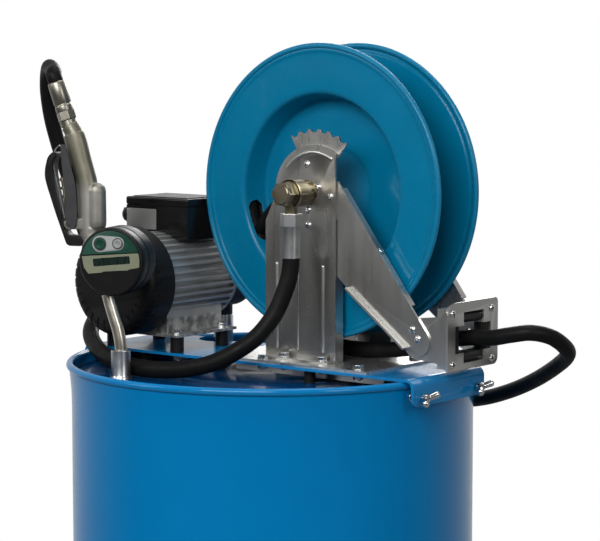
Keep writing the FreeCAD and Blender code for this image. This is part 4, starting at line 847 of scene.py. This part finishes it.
def cross_screws():
    """Cross-head screws of columns, arms and guide."""
    pattern = pan_head(5.0, 3.2, 2.7)
    spots = []
    column = [(86, 281), (106, 250), (127, 238), (88, 218), (88, 197)]
    for x, z in column:
        spots.append((station(x, -30, z), -Y_AXIS))
    for x, z in ((264, 64), (273, 52)):
        spots.append((station(x, -27, z), -Y_AXIS))
        spots.append((station(x, 100, z), Y_AXIS))
    for x, z in column[1:3]:
        spots.append((station(x, 103, z), Y_AXIS))
    for y in (-12, 82):
        for z in (19, 88):
            spots.append((station(320, y, z), X_AXIS))
    spots.append((station(205, -18, 166.8), Vector((0.8, 0, 0.6))))
    heads = []
    for k, (spot, axis) in enumerate(spots):
        copy = pattern.copy()
        copy.transform(facing(axis, spot) @ Matrix.Rotation(math.radians(37 * k), 4, "Z"))
        heads.append(copy)
        heads.append(tube("shank", [spot, spot - axis * 0.008], 2.4, 20))
    mesh = joined("cross_screws_mesh", heads)
    piece("cross_screws", mesh, "bright_zinc", "station", ("cross_head_screws",))


def wing_swell(t):
    """Wing thickness from the boss to its rounded tip."""
    if t < 0.8:
        return 0.85 + 0.45 * t
    return 1.21 * math.sqrt(max(0.04, 1 - ((t - 0.8) / 0.2) ** 2))


def wing_screws():
    """Clamping screws: turned boss with two cast wings."""
    for side_name, side in (("right", 1), ("left", -1)):
        for end_name in ("front", "back"):
            node = "wing_screw_%s_%s" % (side_name, end_name)
            low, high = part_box(node)
            spot = middle(node)
            spot.x = 0.0
            axis = X_AXIS * side
            inner = 1000 * (low.x if side > 0 else -high.x)
            profile = [
                (0, inner), (7, inner), (7, inner + 3.5), (4, inner + 4), (4, 303), (6.6, 303.3),
                (7, 304.5), (6.4, 310), (4.4, 312.6), (3.4, 313), (0, 313),
            ]
            meshes = [lathe("boss", profile, spot, axis, 40)]
            for direction in (-1, 1):
                tip = spot + axis * 0.3185 + Vector((0, direction * 0.0165, direction * 0.0062))
                root = spot + axis * 0.308
                path = [root.lerp(tip, k / 12) for k in range(13)]
                meshes.append(tube("wing", path, 4.2, 24, swell=wing_swell))
            mesh = joined(node + "_mesh", meshes)
            skin(piece(node + "_cast", mesh, "bright_zinc", node, (node,)), 0.7, 4)


# ---------------- motor

def fan_cover_shade_sheet():
    """Dark sheet behind the slots of the fan cover: painted shade for the dark inside of the cover."""
    low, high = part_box("fan_cover")
    centre = middle("fan_cover")
    centre.y = low.y
    outer = 1000 * (high.x - low.x) / 2
    mouth = 1000 * (high.y - low.y) - 14
    corner = 16.0
    profile = [(0, 1.0)] + circle(outer - corner, corner, corner - 1.0, 10, 270, 360)
    profile += [(outer - 1.0, mouth), (outer - 2.4, mouth)]
    profile += circle(outer - corner, corner, corner - 2.4, 10, 360, 270) + [(0, 2.4)]
    shade_sheet = lathe("shade_sheet_mesh", profile, centre, Y_AXIS, 96)
    piece("fan_cover_shade_sheet", shade_sheet, "black_plastic", "station", ())


def terminal_housing():
    """Terminal box with rounded walls and its lid with a raised panel."""
    refine("terminal_box", "gloss_black", 2.0, 4)
    low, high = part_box("terminal_box_lid")
    body = box_mesh("lid_body", low, high)
    lid = piece("terminal_lid", body, "gloss_black", "station", ("terminal_box_lid",))
    bevel(lid, 3.0, 5)
    inset = Vector((0.008, 0.008, 0))
    raised = box_mesh("lid_panel", low + inset + Z_AXIS * 0.010, high - inset + Z_AXIS * 0.0012)
    panel = piece("terminal_lid_panel", raised, "gloss_black", "station", ())
    bevel(panel, 1.0, 3)


def rating_plate():
    """Blank rating plate with four rivets on the terminal box."""
    face = 1000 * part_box("terminal_box")[0].y
    left, right, bottom, top = -247.0, -189.0, 177.0, 207.0
    outline = rounded([(left, bottom), (right, bottom), (right, top), (left, top)], 2.0, 4, True)
    mesh = slab("rating_mesh", outline, 0.0, 0.5, lambda x, z, depth: station(x, face - depth, z))
    bevel(piece("rating_plate", mesh, "plate_grey", "station", ()), 0.2, 2)
    rivet = [(0, 0), (1.3, 0), (1.1, 0.5), (0.6, 0.8), (0, 0.9)]
    rivets = []
    for x in (left + 2.5, right - 2.5):
        for z in (bottom + 2.5, top - 2.5):
            rivets.append(lathe("rivet", rivet, station(x, face - 0.5, z), -Y_AXIS, 20))
    piece("rating_rivets", joined("rivets_mesh", rivets), "bright_zinc", "station", ())


def switch_knob():
    """Domed rotary knob with a grip bar on the terminal box's side."""
    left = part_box("terminal_box")[0].x
    spot = Vector((left - 0.0002, -0.020, RIM + 0.196))
    dome = [(0, 0), (12, 0), (12.2, 1), (12.2, 10), (11.6, 13.5), (9.8, 16.6), (6.5, 18.8), (3, 19.8)]
    knob = lathe("knob", dome + [(0, 20)], spot, -X_AXIS, 64)
    low = spot + Vector((-0.0214, -0.0022, -0.0095))
    high = spot + Vector((-0.009, 0.0022, 0.0095))
    grip = box_mesh("grip", low, high)
    bevel(piece("knob_dome", knob, "gloss_black", "knob", ("switch_knob",)), 0.4, 2)
    bevel(piece("knob_grip", grip, "gloss_black", "knob", ("switch_knob",)), 1.4, 4)


# ---------------- nozzle

METER_U, METER_Z = -2.5, 147.0
BUTTONS = {"meter_button_left": 8.0, "meter_button_right": 6.5}     # radius of each push button


def meter_lathe(name, profile, count=128):
    """A lathe on the meter's axis; distances run to the front."""
    return lathe(name, profile, nozzle(METER_U, 0, METER_Z), W_AXIS, count)


def meter_outline(points):
    """Moves meter-centred points to the nozzle's frame."""
    return [(METER_U + a, METER_Z + b) for a, b in points]


def chord_outline(radius, left, right):
    """Part of the face disc above a straight line through two heights at its sides."""
    slope = (right - left) / (2 * radius)
    line_height = (left + right) / 2
    points = [(a, b) for a, b in circle(0, 0, radius, 180) if b > line_height + slope * a]
    return sorted(points, key=lambda p: math.atan2(p[1] - line_height, p[0]) % (2 * math.pi))


def button_centre(node):
    """Middle of a push button, on the meter's face."""
    spot = middle(node)
    return spot + W_AXIS * (0.0302 - (spot - nozzle(0, 0, 0)).dot(W_AXIS))


def button_holes():
    """Cutters for the two holes that the push buttons travel in."""
    holes = []
    for node, radius in BUTTONS.items():
        profile = [(0, -4), (radius, -4), (radius, 3), (0, 3)]
        holes.append(lathe("hole", profile, button_centre(node), W_AXIS, 56))
    return holes


def meter():
    """Round flow meter's case and face plate."""
    body = [
        (0, -28), (38, -28), (42, -27.4), (46.5, -24), (48, -19), (48, 4), (47.2, 5), (47.2, 7), (48, 8),
        (48, 22), (47.4, 26), (46, 28.3), (44.6, 29), (43.8, 28.2), (0, 28.2),
    ]
    case = meter_lathe("meter_case_mesh", rounded(body, 1.2, 4))
    piece("meter_case", case, "black_plastic", "nozzle", ("meter_body",))
    face = meter_lathe("meter_dial_mesh", [(0, 28.2), (44.0, 28.2), (44.4, 28.6), (44.2, 29.3), (0, 29.5)])
    dial = piece("meter_dial", face, "gloss_black", "nozzle", ("meter_face",))
    carve(dial, button_holes())


def meter_layer(name, outline, low, high, look, edge):
    """A thin bevelled layer on the meter's face, from a meter-centred outline."""
    mesh = nozzle_slab(name + "_mesh", meter_outline(outline), low, high)
    return bevel(piece(name, mesh, look, "nozzle", ("meter_face",)), edge, 2)


def meter_labels():
    """Green upper field, beige band, display window and the grey panel around the buttons."""
    green = chord_outline(43.4, 8.0, 14.2)
    upper = meter_layer("meter_label_upper", green, 29.2, 30.0, "label_green", 0.25)
    carve(upper, button_holes())
    band = [
        (-42.6, 7.2), (41.2, 13.4), (42.9, 6.0), (42.4, -6.6), (27, -9.2), (26.4, -10.6), (-11.5, -13.4),
        (-12.5, -14.8), (-33.0, -17.0), (-39.5, -8.0),
    ]
    band = rounded(band, 1.2, 4, True)
    meter_layer("meter_label_band", band, 29.2, 30.1, "label_beige", 0.25)
    tilt = Matrix.Rotation(math.radians(5.5), 2)
    corners = ((-27.2, -5.4), (27.2, -5.4), (27.2, 5.4), (-27.2, 5.4))
    window = [tuple(Vector((1.6, 1.4)) + tilt @ Vector(corner)) for corner in corners]
    meter_layer("meter_window", rounded(window, 1.4, 4, True), 29.6, 30.35, "lens", 0.2)
    ends = circle(-14.9, 25, 11.6, 24, 90, 270) + circle(11.1, 26, 9.4, 24, -90, 90)
    panel = meter_layer("meter_button_panel", ends, 29.8, 30.3, "label_grey", 0.2)
    carve(panel, button_holes())


def meter_buttons():
    """Dished caps of the two push buttons and the dark rings around them."""
    for (node, radius), look in zip(BUTTONS.items(), ("label_green", "label_grey")):
        name = node.removeprefix("meter_")
        centre = button_centre(node)
        cap = [
            (0, -2), (radius - 0.3, -2), (radius - 0.3, 1.0), (radius - 0.9, 1.7), (radius - 2.2, 1.8),
            (radius - 3.2, 1.1), (0, 0.9),
        ]
        piece(name + "_cap", lathe(name, cap, centre, W_AXIS, 56), look, name, (node,))
        section = [(-0.1, -1.0), (-0.1, 0.5), (0.5, 1.0), (1.3, 0.7), (1.7, -1.0)]
        ring = [(radius + out, depth) for out, depth in section]
        mesh = lathe(name + "_r", ring, centre, W_AXIS, 56, True)
        piece(name + "_ring", mesh, "grey_plastic", "nozzle", ())


HANDLE_STATIONS = [     # middle line (u, z) and half width
    (-44, 176, 12.5), (-46, 190, 14.0), (-46.5, 210, 15.0), (-46.8, 232, 15.2), (-48.5, 253, 15.2),
    (-53, 271, 15.1), (-57.9, 288, 15.2), (-62.6, 305, 15.5), (-66.0, 317, 15.4), (-67.6, 322.5, 14.6),
]
HANDLE_HALF_DEPTH = 12.6
TRIGGER_PIVOT = (-71, 0, 197)


def handle_loft(count=48):
    """Round tapering handle: elliptic sections square to its middle line."""
    middles = smooth_path([Vector((u, width, z)) for u, z, width in HANDLE_STATIONS], 6)
    vertices = []
    for k, spot in enumerate(middles):
        after = middles[min(k + 1, len(middles) - 1)]
        before = middles[max(k - 1, 0)]
        slope = Vector((after.x - before.x, after.z - before.z)).normalized()
        width = spot.y
        depth = min(width, HANDLE_HALF_DEPTH)
        for s in range(count):
            turn = 2 * math.pi * s / count
            across = width * math.cos(turn)
            u, z = spot.x + across * slope.y, spot.z - across * slope.x
            vertices.append(nozzle(u, depth * math.sin(turn), z))
    faces = [tuple(range(count)), tuple(range(len(vertices) - count, len(vertices)))]
    for k in range(len(middles) - 1):
        for s in range(count):
            n = (s + 1) % count
            faces.append((k * count + s, k * count + n, (k + 1) * count + n, (k + 1) * count + s))
    return mesh_from("handle_mesh", vertices, faces)


def nozzle_casting():
    """Cast valve body: round handle with its shoulder, upright valve chamber, neck and trigger lug."""
    meshes = [handle_loft()]
    chamber = [(0, 182), (9, 182), (9.6, 188), (12.6, 194), (13.2, 200), (13.0, 244), (11.4, 250)]
    chamber += [(7, 253.6), (0, 255)]
    meshes.append(lathe("chamber", chamber, nozzle(-34.0, 0, 0), Z_AXIS, 64))
    neck_foot = [(0, 160), (16.4, 160), (15.8, 168), (13.6, 176), (12.4, 184), (12.2, 192), (0, 192)]
    meshes.append(lathe("neck_foot", neck_foot, nozzle(-40, 0, 0), Z_AXIS, 64))
    shoulder = [nozzle(-65.6, 0, 320), nozzle(-70.4, 0, 329), nozzle(-73.6, 0, 334)]
    meshes.append(tube("shoulder", shoulder, 12.4, 40))
    lug = [(0, -12.4), (8, -12.4), (8, 12.4), (0, 12.4)]
    meshes.append(lathe("lug", lug, nozzle(*TRIGGER_PIVOT), W_AXIS, 48))
    web = [(-71, 189.5), (-50, 189.5), (-50, 204.5), (-71, 204.5)]
    meshes.append(nozzle_slab("web", web, -12.0, 12.0))
    mesh = joined("cast_mesh", meshes)
    item = piece("nozzle_cast_body", mesh, "cast_aluminium", "nozzle", ("nozzle_body",))
    skin(item, 0.9)


def trigger_lever():
    """Forked trigger: two side plates that clasp the handle, a bar between them and the pivot pin."""
    cheek = [
        (-81.5, 308), (-80, 279), (-77, 253), (-75, 226), (-75.6, 203), (-72, 193), (-65, 189), (-59.5, 195),
        (-57.5, 212), (-58.5, 238), (-60.5, 257), (-67, 280), (-75, 308),
    ]
    outline = rounded(cheek, 5.0, 5, True)
    meshes = [nozzle_slab("cheek", outline, 13.6, 15.6), nozzle_slab("cheek", outline, -15.6, -13.6)]
    bar = [(-79.9, 276), (-77.6, 252), (-75.4, 252), (-77.6, 276)]
    meshes.append(nozzle_slab("bar", bar, -14.6, 14.6))
    pin = [(0, -16.6), (3.4, -16.6), (4.0, -16.0), (4.0, 16.0), (3.4, 16.6), (0, 16.6)]
    meshes.append(lathe("pin", pin, nozzle(*TRIGGER_PIVOT), W_AXIS, 40))
    mesh = joined("trigger_mesh", meshes)
    item = piece("trigger_lever", mesh, "grey_plastic", "trigger_lever", ("trigger",))
    bevel(item, 0.6, 3)


def spout_and_holder():
    """The spout and the sleeve that it stands in."""
    spout_points = [(0, -14), (0, 5), (0, 26), (-3.2, 46), (-10, 68), (-15.5, 86), (-19, 99)]
    path = smooth_path([nozzle(u, 0, z) for u, z in spout_points], 12)
    spout = tube("spout_mesh", path, 8.5, 48)
    piece("spout_tube", spout, "chrome", "nozzle", ("nozzle_spout",))
    foot = Vector((HOLDER.x, HOLDER.y, RIM))
    sleeve = [
        (9.6, 20.4), (10.2, 21), (13.2, 21), (13.8, 20.3), (13.8, -14), (14.6, -16.2), (15.4, -17.6),
        (15.4, -20), (9.6, -20),
    ]
    holder = lathe("holder_mesh", sleeve, foot, Z_AXIS, 72, True)
    piece("holder_sleeve", holder, "machine_steel", "station", ("nozzle_holder",))


def inlet_fitting():
    """Crimped ferrule with a hexagon nut between handle and hose."""
    along = (INLET_END - INLET_FOOT).normalized()
    length = 1000 * (INLET_END - INLET_FOOT).length
    crimp = [(0, 2), (10.4, 2), (11.5, 3), (11.5, 10), (10.6, 11), (10.6, 22.5), (11.0, 23.2), (12.1, 24.2)]
    crimp += rounded([(12.4, 26), (12.4, 31), (11.4, 32.5), (11.4, 34.5), (12.4, 36)], 0.8, 3)
    crimp += [(12.3, length - 2.4), (11.9, length - 1.0), (11.2, length - 0.3), (0, length - 0.3)]
    crimped = lathe("crimp_mesh", crimp, INLET_FOOT, along, 64)
    piece("inlet_crimp", crimped, "ferrule_zinc", "nozzle", ("nozzle_ferrule",))
    side, up = frame_axes(along)

    def on_fitting(a, b, depth):
        return INLET_FOOT + (side * a + up * b + along * depth) / 1000

    nut = slab("nut_mesh", circle(0, 0, 13.3, 6), 11.0, 23.5, on_fitting)
    bevel(piece("inlet_nut", nut, "ferrule_zinc", "nozzle", ("nozzle_ferrule",)), 0.8, 3, 25)


def guard_and_wire():
    """Trigger guard with its hold-open wire."""
    guard = [
        (-52, 166), (-76, 166), (-92.5, 211), (-105.5, 250), (-108.6, 262), (-108.2, 274), (-104, 290),
        (-97, 297), (-90.5, 297), (-90.5, 291), (-95.5, 284), (-96, 270), (-93, 250), (-84, 214),
        (-81.8, 197), (-74, 181), (-52, 180),
    ]
    mesh = nozzle_slab("guard_mesh", rounded(guard, 6.0, 5, True), -10.5, 10.5)
    item = piece("guard_moulding", mesh, "black_plastic", "nozzle", ("trigger_guard",))
    bevel(item, 2.2, 4, 25)
    wire = [(-79, 9, 205), (-86, 7.2, 235), (-93, 6.3, 262), (-97, 5.4, 285), (-94, 3.6, 300)]
    wire_path = smooth_path([nozzle(*spot) for spot in wire + [(-88, 2.25, 306)]])
    piece("hold_open_wire", tube("wire_mesh", wire_path, 1.0, 16), "dark_steel", "nozzle", ())


# ---------------- swivel

def swivel_rings():
    """Chamfered face of the swivel's cap and the turned collar behind it."""
    face = [(0, -1.2), (12.6, -1.2), (14.6, 0.4), (15.8, 2.4), (15.8, 6), (0, 6)]
    mesh = lathe("cap_face_mesh", face, reel_centre(-88), Y_AXIS, 72)
    piece("swivel_cap_face", mesh, "bronze_dark", "station", ())
    collar = [(17.5, 0), (19.4, 0), (20.5, 0.8), (20.7, 2), (20.5, 3.2), (19.4, 4), (17.5, 4)]
    mesh = lathe("collar_mesh", collar, reel_centre(-70), Y_AXIS, 96, True)
    piece("swivel_collar", mesh, "brass", "station", ())


# ---------------- the rest

# Look, edge radius and edge segments, and the CAD nodes whose shape is already right.
CARRIED_OVER = [
    ("drum_paint", 1.0, 3, ("mounting_plate",)),
    ("galvanised", 0.8, 3, ("near_column", "far_column", "near_arm", "far_arm", "roller_box")),
    ("galvanised", 0.6, 2, ("stiffener_channel", "reel_base_plate", "spring_case")),
    ("galvanised", 0.5, 2, ("roller_frame",)),
    ("galvanised", 0.4, 2, ("latch_pawl",)),
    ("bright_zinc", 0.7, 3, ("hex_bolts",)),
    ("bright_zinc", 0.4, 2, ("suction_tube",)),
    ("brass", 0.4, 2, ("bearings", "valve_stem")),
    ("bronze_dark", 1.0, 3, ("swivel_body",)),
    ("ferrule_bright", 0.7, 3, ("pipe_fittings",)),
    ("machine_steel", 0.6, 2, ("reel_axle",)),
    ("machine_steel", 0.5, 2, ("stator", "rotor_shaft")),
    ("machine_steel", 0.2, 2, ("drive_gear", "driven_gear")),
    ("machine_steel", 0.0, 2, ("rewind_spring",)),
    ("motor_aluminium", 0.8, 2, ("motor_end_shields",)),
    ("motor_aluminium", 0.5, 2, ("motor_housing",)),
    ("dark_casting", 1.4, 3, ("pump_body",)),
    ("dark_casting", 1.6, 3, ("pump_cover",)),
    ("black_plastic", 1.0, 3, ("rubber_mounts",)),
    ("black_plastic", 0.5, 2, ("fan_cover",)),
    ("black_plastic", 0.4, 2, ("cooling_fan",)),
    ("roller_black", 0.8, 3, ("roller_near", "roller_far", "roller_bottom", "roller_top")),
]


def carried_over():
    """Finished copies of the nodes in the table."""
    for look, width, segments, nodes in CARRIED_OVER:
        for node in nodes:
            refine(node, look, width, segments)


# ---------------- studio

def area_light(name, spot, target_height, size, power):
    """A soft rectangular light aimed at a height on the drum's axis."""
    data = bpy.data.lights.new(name, "AREA")
    data.shape = "RECTANGLE"
    data.size, data.size_y = size
    data.energy = power
    item = new_object(name, data)
    item.location = spot
    aim = Z_AXIS * target_height - Vector(spot)
    item.rotation_euler = aim.to_track_quat("-Z", "Y").to_euler()


def pale_world():
    """White behind the object for the eye; for light and reflections dim in front and bright behind it."""
    world = bpy.data.worlds.new("pale_world")
    bpy.context.scene.world = world
    world.use_nodes = True
    tree = world.node_tree
    seen = tree.nodes["Background"]
    seen.inputs["Color"].default_value = (1.0, 1.0, 1.0, 1.0)
    seen.inputs["Strength"].default_value = 1.0
    around = tree.nodes.new("ShaderNodeBackground")
    place = tree.nodes.new("ShaderNodeTexCoord")
    away = tree.nodes.new("ShaderNodeVectorMath")
    away.operation = "DOT_PRODUCT"
    away.inputs[1].default_value = (-0.62, 0.78, 0.12)
    tree.links.new(place.outputs["Generated"], away.inputs[0])
    level = tree.nodes.new("ShaderNodeMapRange")
    level.interpolation_type = "SMOOTHSTEP"
    tree.links.new(away.outputs["Value"], level.inputs["Value"])
    for key, value in (("From Min", -0.25), ("From Max", 0.85), ("To Min", 0.10), ("To Max", 0.78)):
        level.inputs[key].default_value = value
    tree.links.new(level.outputs["Result"], around.inputs["Strength"])
    path = tree.nodes.new("ShaderNodeLightPath")
    mix = tree.nodes.new("ShaderNodeMixShader")
    tree.links.new(path.outputs["Is Camera Ray"], mix.inputs["Fac"])
    tree.links.new(around.outputs["Background"], mix.inputs[1])
    tree.links.new(seen.outputs["Background"], mix.inputs[2])
    tree.links.new(mix.outputs["Shader"], tree.nodes["World Output"].inputs["Surface"])


def studio():
    """Pale floor, soft lights, pale world and the camera."""
    profile = [(0, 0), (2300, 0), (2400, -4), (2400, -20), (0, -20)]
    mesh = lathe("floor_mesh", profile, ORIGIN, Z_AXIS, 96)
    mesh.materials.append(floor_material())
    new_object("floor", mesh)
    pale_world()
    area_light("key", (0.98, -2.84, 2.6), 0.9, (2.2, 1.4), 94)
    area_light("right", (3.0, -0.8, 2.0), 0.9, (0.9, 1.4), 22)
    area_light("left", (-1.8, -2.6, 2.2), 0.9, (1.2, 1.2), 20)
    area_light("top", (0.3, 0.4, 3.6), 1.0, (1.8, 1.8), 28)
    area_light("back", (-1.3, 3.1, 2.3), 0.8, (2.0, 1.4), 50)
    data = bpy.data.cameras.new("camera")
    data.lens = 129.7
    data.sensor_width = 36.0
    camera = new_object("camera", data)
    camera.location = (1.941, -2.380, 1.3127)
    camera.rotation_euler = (math.radians(84.29), 0.0, math.radians(38.47))
    bpy.context.scene.camera = camera
    bpy.context.scene.view_settings.view_transform = "Standard"


drum()
reel_discs()
wound_hose()
hoses()
cross_screws()
wing_screws()
terminal_housing()
rating_plate()
switch_knob()
meter()
meter_labels()
meter_buttons()
nozzle_casting()
spout_and_holder()
inlet_fitting()
guard_and_wire()
trigger_lever()
fan_cover_shade_sheet()
swivel_rings()
carried_over()
studio()
